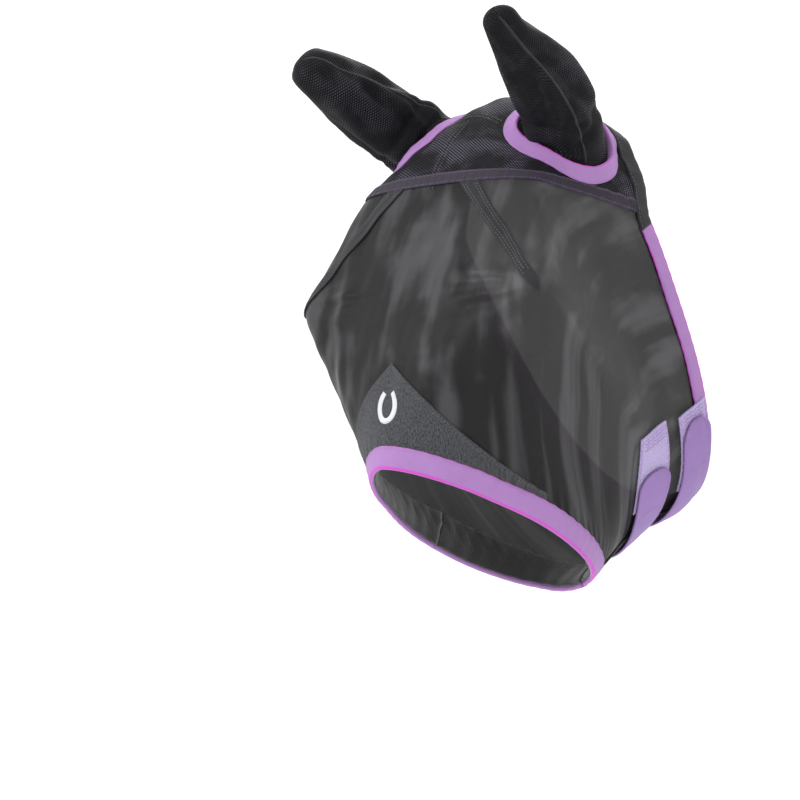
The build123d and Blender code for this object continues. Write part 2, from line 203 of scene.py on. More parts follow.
class Skin:
    """The head form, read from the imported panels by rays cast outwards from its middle.

    A place on it is an angle about the fan line and a turn round the section, from the front.
    """

    def __init__(self, sizes):
        self.angles = np.radians(np.linspace(8.5, 69.0, 243))
        self.turns = np.radians(np.linspace(-180, 180, 401))
        reach = self.cast()
        reach = self.filled(reach)
        angle, turn = np.meshgrid(self.angles, self.turns, indexing="ij")
        self.points = self.place(angle, turn, reach)
        self.measure()
        lift = relief(self.points.reshape(-1, 3), self.lengths.reshape(-1, 2), sizes)
        self.points = self.points + self.normals * lift.reshape(angle.shape)[..., None]
        self.measure()

    def place(self, angle, turn, reach):
        out = AXIS_REACH + reach * np.cos(turn)
        y, z = FAN_Y - out * np.cos(angle), FAN_Z + out * np.sin(angle)
        return np.stack(np.broadcast_arrays(reach * np.sin(turn), y, z), axis=-1)

    def cast(self):
        panels = ("face_mesh", "flap_mesh", "near_crown_panel", "off_crown_panel", "poll_panel")
        tree = tree_of(*panels)
        reach = np.full((len(self.angles), len(self.turns)), np.nan)
        for i, angle in enumerate(self.angles):
            start = Vector(self.place(angle, 0.0, 0.0))
            for j, turn in enumerate(self.turns):
                aim = Vector(self.place(angle, turn, 1.0)) - start
                hit = tree.ray_cast(start, aim)
                if hit[0] is not None:
                    reach[i, j] = hit[3]
        return reach

    def filled(self, reach):
        """Carries the form across its openings and a little past its edges."""
        known = ~np.isnan(reach)
        rows = np.arange(len(reach))
        for j in range(reach.shape[1]):
            have = np.nonzero(known[:, j])[0]
            if len(have) < 8:
                continue
            column = np.interp(rows, have, reach[have, j])
            first, last = have[0], have[-1]
            slope = (reach[have[5], j] - reach[first, j]) / (have[5] - first)
            column[:first] -= slope * np.minimum(first - rows[:first], 6)
            slope = (reach[last, j] - reach[have[-6], j]) / (last - have[-6])
            column[last + 1:] += slope * np.minimum(rows[last + 1:] - last, 6)
            reach[:, j] = column
        empty = np.isnan(reach).all(axis=0)
        if empty.any():
            columns = np.arange(reach.shape[1])
            for row in reach:
                row[empty] = np.interp(columns[empty], columns[~empty], row[~empty])
        holes = ~known
        for _ in range(250):
            around = (self.rolled(reach, 1) + self.rolled(reach, -1)) / 2
            up = np.vstack((reach[:1], reach[:-1]))
            down = np.vstack((reach[1:], reach[-1:]))
            inner = holes & self.between(known)
            reach = np.where(inner, (around + (up + down) / 2) / 2, reach)
        for _ in range(2):
            reach = (self.rolled(reach, 1) + 2 * reach + self.rolled(reach, -1)) / 4
            middle = (reach[:-2] + 2 * reach[1:-1] + reach[2:]) / 4
            reach = np.vstack((reach[:1], middle, reach[-1:]))
        return reach

    def between(self, known):
        below = np.maximum.accumulate(known, axis=0)
        above = np.maximum.accumulate(known[::-1], axis=0)[::-1]
        return below & above

    @staticmethod
    def rolled(values, step):
        """The neighbours round the section, whose first and last columns are the same."""
        ring = np.roll(values[:, :-1], step, axis=1)
        return np.hstack((ring, ring[:, :1]))

    def measure(self):
        """Normals, and lengths round and along the surface from the middle of the brow."""
        round_step = (self.rolled_points(-1) - self.rolled_points(1)) / 2
        along_step = np.gradient(self.points, axis=0)
        self.normals = normalised(np.cross(round_step, along_step))
        outward = self.points - self.place(self.angles, 0.0, 0.0)[:, None]
        flip = np.sign((self.normals * outward).sum(-1).mean())
        self.normals = self.normals * flip
        front = len(self.turns) // 2
        girth = np.cumsum(np.linalg.norm(np.diff(self.points, axis=1), axis=-1), axis=1)
        girth = np.hstack((np.zeros((len(girth), 1)), girth))
        height = np.cumsum(np.linalg.norm(np.diff(self.points, axis=0), axis=-1), axis=0)
        height = np.vstack((np.zeros((1, height.shape[1])), height))
        middle = len(self.angles) * 2 // 3
        girth, height = girth - girth[:, front:front + 1], height - height[middle]
        self.lengths = np.stack((girth, height), axis=-1)

    def rolled_points(self, step):
        ring = np.roll(self.points[:, :-1], step, axis=1)
        return np.concatenate((ring, ring[:, :1]), axis=1)

    def sample(self, grid, angle, turn):
        row = (angle - self.angles[0]) / (self.angles[1] - self.angles[0])
        row = np.clip(row, 0, len(self.angles) - 1.001)
        column = (turn - self.turns[0]) / (self.turns[1] - self.turns[0])
        column = np.clip(column, 0, len(self.turns) - 1.001)
        i, j = row.astype(int), column.astype(int)
        down, over = (row - i)[:, None], (column - j)[:, None]
        top = grid[i, j] * (1 - over) + grid[i, j + 1] * over
        low = grid[i + 1, j] * (1 - over) + grid[i + 1, j + 1] * over
        return top * (1 - down) + low * down

    def at(self, angle, turn):
        normals = normalised(self.sample(self.normals, angle, turn))
        return self.sample(self.points, angle, turn), normals

    def where(self, points):
        dy, dz = FAN_Y - points[:, 1], points[:, 2] - FAN_Z
        out = np.hypot(dy, dz) - AXIS_REACH
        return np.arctan2(dz, dy), np.arctan2(points[:, 0], out)

    def onto(self, points, lift=0.0):
        """The points of the surface by these, raised by lift."""
        places, normals = self.at(*self.where(points))
        return places + normals * np.broadcast_to(lift, len(points))[:, None]

    def drop(self, points, direction):
        """Moves points along a direction until they meet the surface."""
        for _ in range(6):
            places, normals = self.at(*self.where(points))
            gap = ((places - points) * normals).sum(1)
            points = points + direction * (gap / (normals @ direction))[:, None]
        return points

    def line(self, condition, start=None):
        """Where a condition changes sign, once round the hood, from a turn in degrees."""
        values = condition(self.points.reshape(-1, 3)).reshape(self.points.shape[:2])
        found = []
        for j in range(len(self.turns) - 1):
            column = values[:, j]
            rows = np.nonzero(column[:-1] * column[1:] <= 0)[0]
            if len(rows):
                i = rows[0]
                share = column[i] / (column[i] - column[i + 1] + 1e-12)
                place = self.points[i, j] * (1 - share) + self.points[i + 1, j] * share
                found.append(((math.degrees(self.turns[j]) - (start or 0)) % 360, place))
        found.sort(key=lambda pair: pair[0])
        return np.array([place for _, place in found])


def relief(points, lengths, sizes):
    """How far the worn cloth stands off the form: peaks over the eyes, folds and puckers."""
    x, y, z = points.T
    girth, height = lengths.T
    brow, nose, rear = above_brow(points), inside_nose(points), inside_rear(points)
    lift = np.zeros(len(points))
    for side in (-1, 1):
        away = points - EYE * (side, 1, 1)
        far = np.linalg.norm(away, axis=1)
        ray = np.arctan2(away[:, 2], away[:, 1])
        lift += sizes.eye_peak / MM * np.exp(-far / 17)
        folds = np.sin(6 * ray + side) + 0.6 * np.sin(11 * ray + 2 * side)
        lift += sizes.fold / MM * 0.62 * folds * np.exp(-(((far - 52) / 30) ** 2))
    face = smoothstep((-brow - 6) / 25) * smoothstep((nose - 20) / 40) * smoothstep((60 - y) / 80)
    drape = np.sin(2 * np.pi * (x + 0.2 * z) / 41) + 0.6 * np.sin(2 * np.pi * (x - 0.35 * z) / 23)
    lift += sizes.fold / MM * 0.42 * face * drape
    cheek = smoothstep((y - 20) / 60) * smoothstep((rear - 16) / 30) * smoothstep(-brow / 40)
    sag = np.sin(2 * np.pi * (y * 0.83 + z * 0.5) / 52 + 0.7) * np.sin(2 * np.pi * z / 190)
    lift += sizes.fold / MM * 0.8 * cheek * sag
    crown = smoothstep((brow - 10) / 12)
    lift += 0.55 * crown * np.sin(2 * np.pi * (girth * 0.8 + height) / 37)
    lift += 0.4 * np.sin(2 * np.pi * girth / 8.3) * np.exp(-((brow + 1) / 7) ** 2)
    lift += 0.45 * np.sin(2 * np.pi * girth / 12.5) * np.exp(-((nose - 20) / 8) ** 2)
    lift += 0.4 * np.sin(2 * np.pi * height / 13.0) * np.exp(-((rear - 15) / 7) ** 2)
    return lift


_made = {}


def hood_skin():
    if "skin" not in _made:
        _made["skin"] = Skin(bpy.context.scene.fly_mask_sizes)
    return _made["skin"]


# ---- making meshes -----------------------------------------------------------------------------
def cloth_object(name, points, faces, corner_uv, finish, closed=True):
    """A smooth mesh object from points in millimetres, with its weave's UV in millimetres."""
    mesh = bpy.data.meshes.new(name)
    mesh.from_pydata((np.asarray(points) * MM).tolist(), [], [list(f) for f in faces])
    layer = mesh.uv_layers.new(name="Weave")
    layer.data.foreach_set("uv", np.asarray(corner_uv, float).ravel())
    mesh.polygons.foreach_set("use_smooth", [True] * len(mesh.polygons))
    work = bmesh.new()
    work.from_mesh(mesh)
    bmesh.ops.remove_doubles(work, verts=work.verts, dist=1e-6)
    bmesh.ops.dissolve_degenerate(work, edges=work.edges, dist=1e-6)
    loose = [v for v in work.verts if not v.link_faces]
    bmesh.ops.delete(work, geom=loose, context="VERTS")
    if closed:
        bmesh.ops.recalc_face_normals(work, faces=work.faces)
    work.to_mesh(mesh)
    work.free()
    mesh.materials.append(finish)
    made = bpy.data.objects.new(name, mesh)
    bpy.context.scene.collection.objects.link(made)
    return made


def region(*conditions):
    """The part of the hood's grid where each condition is positive: its places and its faces."""
    skin = hood_skin()
    angle, turn = np.meshgrid(skin.angles, skin.turns, indexing="ij")
    places = np.stack((angle.ravel(), turn.ravel()), axis=1)
    rows, columns = angle.shape
    corner = (np.arange(rows - 1)[:, None] * columns + np.arange(columns - 1)).ravel()
    faces = np.stack((corner, corner + 1, corner + columns + 1, corner + columns), axis=1)
    faces = faces.tolist()
    for condition in conditions:
        places, faces = clipped(places, faces, condition)
    used = sorted({i for face in faces for i in face})
    new = {old: i for i, old in enumerate(used)}
    return places[used], [[new[i] for i in face] for face in faces]


def clipped(places, faces, condition):
    value = condition(hood_skin().at(*places.T)[0]).tolist()
    rows = list(places)
    cuts = {}

    def crossing(i, j):
        key = (min(i, j), max(i, j))
        if key not in cuts:
            a, b = key
            share = value[a] / (value[a] - value[b])
            cuts[key] = len(rows)
            rows.append(rows[a] + share * (rows[b] - rows[a]))
        return cuts[key]

    kept = []
    for face in faces:
        inside = [value[i] > 0 for i in face]
        if all(inside):
            kept.append(face)
        elif any(inside):
            cut = []
            for i, j in zip(face, face[1:] + face[:1]):
                if value[i] > 0:
                    cut.append(i)
                if (value[i] > 0) != (value[j] > 0):
                    cut.append(crossing(i, j))
            kept.append(cut)
    return np.array(rows), kept


def sheet_piece(name, finish, conditions, lift=0.5):
    """One layer of cloth on the hood."""
    skin = hood_skin()
    places, faces = region(*conditions)
    points, normals = skin.at(*places.T)
    uv = skin.sample(skin.lengths, *places.T)
    corner_uv = uv[[i for face in faces for i in face]]
    return cloth_object(name, points + normals * lift, faces, corner_uv, finish, closed=False)


def slab_piece(name, finish, conditions, low, high, soft=0.3):
    """A patch of cloth with its thickness and turned edges."""
    skin = hood_skin()
    places, faces = region(*conditions)
    points, normals = skin.at(*places.T)
    uv = skin.sample(skin.lengths, *places.T)
    count = len(places)
    edges = {}
    for face in faces:
        for i, j in zip(face, face[1:] + face[:1]):
            edges[(i, j)] = edges.get((i, j), 0) + 1
    rim = [(i, j) for i, j in edges if (j, i) not in edges]
    top = [list(face) for face in faces]
    bottom = [[i + count for i in face[::-1]] for face in faces]
    walls = [[j, i, i + count, j + count] for i, j in rim]
    everything = top + bottom + walls
    lifted = np.vstack((points + normals * high, points + normals * low))
    both = np.vstack((uv, uv))
    corner_uv = both[[i for face in everything for i in face]]
    made = cloth_object(name, lifted, everything, corner_uv, finish)
    if soft:
        soften(made, soft)
    return made


def soften(made, width):
    """Rounds the sharp edges of a piece."""
    work = bmesh.new()
    work.from_mesh(made.data)
    sharp = [e for e in work.edges if len(e.link_faces) == 2 and e.calc_face_angle(0) > 0.8]
    bmesh.ops.bevel(
        work, geom=sharp, offset=width * MM, segments=2, profile=0.5, affect="EDGES",
        clamp_overlap=True,
    )
    for face in work.faces:
        face.smooth = True
    work.to_mesh(made.data)
    work.free()


def resampled(points, step):
    gaps = np.linalg.norm(np.diff(points, axis=0), axis=1)
    along = np.concatenate(([0], np.cumsum(gaps)))
    count = max(2, int(round(along[-1] / step)) + 1)
    wanted = np.linspace(0, along[-1], count)
    return np.stack([np.interp(wanted, along, points[:, k]) for k in range(3)], axis=1)


def part_of(points, condition):
    """The stretch of a line where a condition is positive, ended exactly."""
    value = condition(points)
    inside = np.nonzero(value > 0)[0]
    first, last = inside[0], inside[-1]
    out = points[first:last + 1]
    if first > 0:
        share = value[first] / (value[first] - value[first - 1])
        out = np.vstack((points[first] + share * (points[first - 1] - points[first]), out))
    if last < len(points) - 1:
        share = value[last] / (value[last] - value[last + 1])
        out = np.vstack((out, points[last] + share * (points[last + 1] - points[last])))
    return out


class Route:
    """A line on the hood, with the direction along the cloth and away from it."""

    def __init__(self, points, inside=None, step=2.2, rounds=6, closed=False):
        skin = hood_skin()
        points = resampled(points, step)
        if closed:
            points = points[:-1]
        for _ in range(rounds):
            if closed:
                points = (np.roll(points, 1, 0) + 2 * points + np.roll(points, -1, 0)) / 4
            else:
                middle = (points[:-2] + 2 * points[1:-1] + points[2:]) / 4
                points = np.vstack((points[:1], middle, points[-1:]))
        self.closed = closed
        self.points = skin.onto(points)
        if closed:
            run = np.roll(self.points, -1, 0) - np.roll(self.points, 1, 0)
        else:
            run = np.gradient(self.points, axis=0)
        self.tangent = normalised(run)
        self.normal = skin.at(*skin.where(self.points))[1]
        self.inward = normalised(np.cross(self.normal, self.tangent))
        if inside is not None:
            here = inside(self.points + self.inward) - inside(self.points - self.inward)
            self.inward = self.inward * np.sign(here.mean())
        gaps = np.linalg.norm(np.diff(self.points, axis=0), axis=1)
        self.along = np.concatenate(([0], np.cumsum(gaps)))

    def shifted(self, distance, lift=0.0):
        """The points of a line that runs beside this one."""
        moved = self.points + self.inward * np.broadcast_to(distance, len(self.points))[:, None]
        return hood_skin().onto(moved, lift)


def strip_piece(name, finish, route, profile, narrowing=None, pucker=0.0, period=9.0):
    """A band along a route. Its profile is a closed outline of (distance inwards, height)."""
    skin = hood_skin()
    count, sides = len(route.points), len(profile)
    scale = np.ones(count) if narrowing is None else narrowing
    wave = pucker * np.sin(2 * np.pi * route.along[:count] / period)
    middle = (min(w for w, _ in profile) + max(w for w, _ in profile)) / 2
    rings = []
    for width, height in profile:
        across = middle * (narrowing is not None) + (width - middle * (narrowing is not None)) * scale
        moved = route.points + route.inward * across[:, None]
        rings.append(skin.onto(moved, height + wave * (1 if height > 0 else -1)))
    points = np.stack(rings, axis=1).reshape(-1, 3)
    outline = np.array(profile + [profile[0]])
    round_it = np.concatenate(([0], np.cumsum(np.linalg.norm(np.diff(outline, axis=0), axis=1))))
    faces, corner_uv = [], []
    spans = count if route.closed else count - 1
    total = route.along[-1] + (route.along[1] if route.closed else 0)
    for i in range(spans):
        following = (i + 1) % count
        here = route.along[i]
        there = total if following == 0 else route.along[following]
        for k in range(sides):
            after = (k + 1) % sides
            faces.append((i * sides + k, i * sides + after,
                          following * sides + after, following * sides + k))
            corner_uv += [(here, round_it[k]), (here, round_it[k + 1]),
                          (there, round_it[k + 1]), (there, round_it[k])]
    if not route.closed:
        for ring in (0, count - 1):
            faces.append([ring * sides + k for k in range(sides)])
            corner_uv += [(route.along[ring] + h, w) for w, h in profile]
    return cloth_object(name, points, faces, corner_uv, finish)


def band(start, end, low, high, every=4.5):
    """The profile of a flat band with turned edges."""
    count = max(2, int(abs(end - start) / every) + 1)
    inner = min(0.5, (high - low) / 2)
    top = [(w, high) for w in np.linspace(end - inner * 1.4, start + inner * 1.4, count)]
    under = [(w, low) for w in np.linspace(start + inner, end - inner, count)]
    return under + [(end, low + inner * 0.6), (end, high - inner * 0.7)] + top + [
        (start, high - inner * 0.7), (start, low + inner * 0.6)]


def folded(width, every=4.5):
    """The profile of a binding folded over an edge that lies at distance 0."""
    (inner_low, inner_high), (outer_low, outer_high) = FOLD_INNER, FOLD_OUTER
    count = int(width / every) + 2
    outside = [(w, outer_high) for w in np.linspace(0.6, width - 0.5, count)]
    outside[1:-1] = [(w, h + 0.12) for w, h in outside[1:-1]]
    lip = [(width, outer_high - 0.5), (width, outer_low)]
    slot = [(w, outer_low) for w in np.linspace(width - 3, 0.4, 3)]
    slot += [(w, inner_high) for w in np.linspace(0.4, width - 3, 3)]
    inside_lip = [(width - 0.4, inner_high), (width - 0.4, inner_low + 0.4)]
    inside = [(w, inner_low) for w in np.linspace(width - 1.0, 0.6, count)]
    fold = [(-0.6, inner_low + 0.45), (-1.25, inner_low + 1.3), (-1.45, 0.5),
            (-1.25, outer_high - 1.3), (-0.6, outer_high - 0.4)]
    return outside + lip + slot + inside_lip + inside + fold


def stitches(name, finish, lines, sizes, lifts, zigzag=0.0):
    """Rows of thread stitches along lines of points on the hood."""
    skin = hood_skin()
    pitch, radius = sizes.stitch_pitch / MM, sizes.thread / MM / 2
    steps = np.linspace(-0.5, 0.5, 5)
    circle = np.linspace(0, 2 * np.pi, 6, endpoint=False)
    points, faces, corner_uv = [], [], []
    for line, lift in zip(lines, lifts):
        spots = resampled(line, pitch)
        tangent = normalised(np.gradient(spots, axis=0))
        spots, tangent = spots[1:-1], tangent[1:-1]
        if not len(spots):
            continue
        _, normal = skin.at(*skin.where(spots))
        side = normalised(np.cross(normal, tangent))
        if zigzag:
            sign = np.where(np.arange(len(spots)) % 2, 1.0, -1.0)[:, None]
            tangent = normalised(tangent + side * sign * zigzag)
            side = normalised(np.cross(normal, tangent))
        reach = pitch * (0.82 if not zigzag else 1.25)
        for spot, t, n, b in zip(spots, tangent, normal, side):
            start = len(points)
            for s in steps:
                arch = math.cos(math.pi * s)
                size = radius * (0.45 + 0.55 * math.sqrt(max(arch, 0)))
                core = spot + t * (s * reach) + n * (lift - radius * 0.6 + radius * 1.1 * arch)
                points.extend(core + n * (size * math.sin(c)) + b * (size * 1.15 * math.cos(c))
                              for c in circle)
            for ring in range(4):
                for k in range(6):
                    after = (k + 1) % 6
                    a, c = start + ring * 6, start + ring * 6 + 6
                    faces.append((a + k, a + after, c + after, c + k))
                    corner_uv += [(ring, k), (ring, k + 1), (ring + 1, k + 1), (ring + 1, k)]
            faces.append([start + k for k in range(6)])
            faces.append([start + 24 + k for k in range(6)])
            corner_uv += [(0, k) for k in range(6)] + [(4, k) for k in range(6)]
    return cloth_object(name, points, faces, corner_uv, finish)


# ---- finishes ----------------------------------------------------------------------------------
class Value:
    """A number that varies over a surface. Sums and products of it add Math nodes."""

    def __init__(self, finish, socket):
        self.finish, self.socket = finish, socket

    def math(self, operation, *others):
        numbers = {i: other for i, other in enumerate((self, *others))}
        return self.finish.node("ShaderNodeMath", {"operation": operation}, numbers)

    def __add__(self, other):
        return self.math("ADD", other)

    def __mul__(self, other):
        return self.math("MULTIPLY", other)

    def __sub__(self, other):
        return self.math("SUBTRACT", other)

    def __rsub__(self, other):
        return self.finish.node("ShaderNodeMath", {"operation": "SUBTRACT"}, {0: other, 1: self})

    def __pow__(self, other):
        return self.math("POWER", other)

    __radd__, __rmul__ = __add__, __mul__

    def sine(self):
        return self.math("SINE")

    def size(self):
        return self.math("ABSOLUTE")

    def limited(self, low, high):
        """0 under low, 1 over high, smooth between."""
        settings = {"interpolation_type": "SMOOTHSTEP"}
        return self.finish.node("ShaderNodeMapRange", settings, {0: self, 1: low, 2: high})


class Finish:
    """A material under construction."""

    def __init__(self, name, **uniform):
        self.material = bpy.data.materials.new(name)
        self.material.use_nodes = True
        self.tree = self.material.node_tree
        self.shader = self.tree.nodes["Principled BSDF"]
        for socket, value in uniform.items():
            self.shader.inputs[socket.replace("_", " ")].default_value = value
        self.weave = None

    def node(self, kind, settings=None, sockets=None, output=0):
        made = self.tree.nodes.new(kind)
        for name, value in (settings or {}).items():
            if name == "stops":
                self.set_stops(made.color_ramp, value)
            else:
                setattr(made, name, value)
        for name, value in (sockets or {}).items():
            self.join(made.inputs[name], value)
        return Value(self, made.outputs[output])

    @staticmethod
    def set_stops(ramp, stops):
        while len(ramp.elements) < len(stops):
            ramp.elements.new(1.0)
        for element, (place, colour) in zip(ramp.elements, stops):
            element.position, element.color = place, (*colour, 1)

    def join(self, socket, value):
        if isinstance(value, Value):
            self.tree.links.new(value.socket, socket)
        else:
            socket.default_value = value

    def over(self):
        """The weave's coordinates along and across the cloth, in millimetres."""
        if self.weave is None:
            place = self.node("ShaderNodeUVMap", {"uv_map": "Weave"})
            split = self.node("ShaderNodeSeparateXYZ", None, {0: place})
            node = split.socket.node
            self.weave = place, Value(self, node.outputs[0]), Value(self, node.outputs[1])
        return self.weave

    def noise(self, size, detail=3.0, roughness=0.55, stretch=None, seed=0.0):
        """Cloudy variation: size is that of its patches, in millimetres."""
        place = self.over()[0]
        scale = (1 / size, 1 / size, 1) if stretch is None else (1 / size, 1 / (size * stretch), 1)
        mapped = self.node("ShaderNodeMapping", None, {"Vector": place, "Scale": scale,
                                                       "Location": (seed, seed * 0.7, seed)})
        sockets = {"Vector": mapped, "Scale": 1.0, "Detail": detail, "Roughness": roughness}
        return self.node("ShaderNodeTexNoise", {"noise_dimensions": "2D"}, sockets)

    def threads(self, pitch, along=1.0, across=1.0):
        """A plain weave's height from 0 to 1: warp over weft, turn by turn."""
        _, u, v = self.over()
        over = (u * (math.pi / (pitch * along))).sine()
        under = (v * (math.pi / (pitch * across))).sine()
        return over * under * 0.5 + 0.5

    def mix(self, share, first, second):
        """Two colours, by a share from 0 to 1."""
        settings = {"data_type": "RGBA"}
        sockets = {0: share, 6: first, 7: second}
        return self.node("ShaderNodeMix", settings, sockets, output=2)

    def bump(self, height, depth, strength=1.0):
        sockets = {"Height": height, "Distance": depth * MM, "Strength": strength}
        return self.node("ShaderNodeBump", None, sockets)

    def set(self, **sockets):
        for socket, value in sockets.items():
            self.join(self.shader.inputs[socket.replace("_", " ")], value)
        return self.material


def opaque(colour, share=1.0):
    return (colour[0] * share, colour[1] * share, colour[2] * share, 1)


def mesh_finish(colours, sizes):
    """Fine see-through mesh: thread where the alpha is high, holes where it is low, and painted sheen streaks
    that lighten its colour in patches.
    """
    finish = Finish("fine mesh", Sheen_Weight=0.01, Sheen_Roughness=0.4, Specular_IOR_Level=0.16)
    pitch = sizes.mesh_pitch / MM
    _, u, v = finish.over()
    hole = (u * (math.pi / pitch)).sine().size() * (v * (math.pi / pitch)).sine().size()
    streak = finish.noise(26, 2.5, 0.5, stretch=6.0, seed=3.0)
    cloud = finish.noise(60, 3.0, 0.55, seed=9.0)
    cover = 1 - hole * (0.055 + streak * 0.02)
    # painted sheen: where these streaks and clouds run high, the colour is blended from the dark mesh tone
    # towards light, a grey 4.4 times the mesh colour that stands in for satin highlights
    painted_sheen = (streak * 0.65 + cloud * 0.55).limited(0.56, 0.8)
    dark, light = opaque(colours.mesh, 0.35), opaque(colours.mesh, 4.4)
    grain = finish.noise(1.3, 1.0, 0.5, stretch=0.8, seed=5.0)
    return finish.set(
        Base_Color=finish.mix(painted_sheen * 0.8 + grain * 0.2, dark, light),
        Roughness=0.5 - painted_sheen * 0.16,
        Alpha=cover,
        Normal=finish.bump(1 - hole, 0.03),
    )


def cloth_finish(name, colours, sizes, colour, tint=None, painted_glint=5.0):
    """The solid cloth of the crown and the ears: black, with rows of raised threads whose tops are painted
    lighter as highlights.
    """
    finish = Finish(name, Sheen_Weight=0.01, Sheen_Roughness=0.5, Specular_IOR_Level=0.12)
    weave = finish.threads(sizes.cloth_pitch / MM, 1.0, 0.62)
    cloud = finish.noise(34, 3.0, 0.55, seed=2.0)
    worn = finish.noise(9, 2.0, 0.6, seed=4.0)
    # painted highlight: the tops of the raised threads are blended towards a tone several times lighter, more
    # so where the cloud is high, as if they caught the light
    dark = opaque(colour, 0.25)
    raised = opaque(tint or colour, painted_glint)
    knob = weave.limited(0.52, 0.95)
    share = knob * (0.12 + cloud.limited(0.42, 0.68) * 0.88)
    return finish.set(
        Base_Color=finish.mix(share, dark, raised),
        Roughness=0.66 - knob * 0.26 + worn * 0.1,
        Normal=finish.bump(weave + worn * 0.3, 0.34),
    )


def ribbed_finish(name, colour, edge, marks, rib=1.05, lean=0.0, depth=0.16, sheen=0.12):
    """A folded or woven tape: fine ribs across it, painted lighter on their crests as a highlight, and another
    colour at the marks, which on the purple bindings and ear rings is painted shade where they turn over.
    """
    finish = Finish(name, Sheen_Weight=sheen, Sheen_Roughness=0.4, Specular_IOR_Level=0.35)
    _, along, across = finish.over()
    rib_height = ((along + across * lean) * (math.pi / rib)).sine().size()
    cord = (across * (math.pi / (rib * 0.8))).sine().size()
    cloud = finish.noise(22, 2.5, 0.5, seed=1.0)
    # the body's tone varies with a random cloud, and is painted lighter on the rib crests as a highlight
    body = finish.mix(cloud * 0.55 + rib_height * 0.25, opaque(colour, 0.86), opaque(colour, 1.1))
    at_edge = 0.0
    # painted shade: near each mark the edge colour is mixed in; on the purple bindings and ear rings it is the
    # magenta shade where they turn over their edges
    for mark, reach in marks:
        at_edge = at_edge + (1 - (across - mark).size().limited(reach * 0.55, reach))
    shade = finish.mix(at_edge * (0.5 + cloud * 0.6), body, opaque(edge))
    return finish.set(
        Base_Color=shade,
        Roughness=0.72 - rib_height * 0.12 + cloud * 0.08,
        Normal=finish.bump(rib_height + cord * 0.4, depth),
    )


def fold_marks(width):
    """Where a folded binding's two outer edges lie along its profile, and how wide each shows."""
    outline = np.array(folded(width) + folded(width)[:1])
    total = np.linalg.norm(np.diff(outline, axis=0), axis=1).sum()
    return (0.0, 0.9), (width + 0.2, 1.5), (total - 0.9, 1.9)


def heather_finish(colours):
    """Brushed charcoal cloth flecked light and dark."""
    finish = Finish("heather patch", Sheen_Weight=0.08, Sheen_Roughness=0.6, Specular_IOR_Level=0.25)
    fleck = finish.noise(1.1, 2.0, 0.6, stretch=2.4, seed=7.0)
    cross = finish.noise(1.1, 2.0, 0.6, stretch=0.4, seed=8.0)
    blend = (fleck * 0.55 + cross * 0.45).limited(0.36, 0.64)
    dark, light = opaque(colours.heather, 0.5), opaque(colours.heather, 1.75)
    return finish.set(
        Base_Color=finish.mix(blend, dark, light),
        Roughness=0.9 - blend * 0.12,
        Normal=finish.bump(blend, 0.25),
    )


def pile_finish(name, colour, size=1.6, depth=0.9, light=1.35):
    """The fuzzy face of hook-and-loop tape, or a brushed lining."""
    finish = Finish(name, Sheen_Weight=0.5, Sheen_Roughness=0.55, Specular_IOR_Level=0.25)
    fuzz = finish.noise(size, 4.0, 0.75, seed=6.0)
    strand = finish.noise(size * 0.45, 3.0, 0.7, stretch=2.2, seed=11.0)
    matted = finish.noise(11, 2.0, 0.5, seed=12.0)
    blend = (fuzz * 0.5 + strand * 0.5).limited(0.34, 0.68)
    tone = finish.mix(blend, opaque(colour, 0.66), opaque(colour, light))
    return finish.set(
        Base_Color=finish.mix(matted * 0.5, tone, opaque(colour)),
        Roughness=0.95 - blend * 0.08,
        Normal=finish.bump(fuzz + strand * 0.7, depth),
    )


def thread_finish(name, colour):
    """Twisted sewing thread."""
    finish = Finish(name, Sheen_Weight=0.2, Specular_IOR_Level=0.5)
    _, along, across = finish.over()
    ply = ((along + across * 0.5) * math.pi).sine().size()
    return finish.set(
        # painted shade: the thread is darker in the grooves between its plies and lighter on their crowns
        Base_Color=finish.mix(ply, opaque(colour, 0.7), opaque(colour, 1.15)),
        Roughness=0.6 - ply * 0.15,
        Normal=finish.bump(ply, 0.08),
    )


def floor_finish():
    finish = Finish("studio floor", Specular_IOR_Level=0.2, Emission_Color=(1, 1, 1, 1), Emission_Strength=0.24)
    place = finish.node("ShaderNodeTexCoord", output=3)
    sockets = {"Vector": place, "Scale": 3.0, "Detail": 2.0}
    cloud = finish.node("ShaderNodeTexNoise", None, sockets)
    return finish.set(
        Base_Color=finish.mix(cloud, (0.93, 0.93, 0.93, 1), (0.95, 0.95, 0.95, 1)),
        Roughness=0.85 + cloud * 0.1,
    )


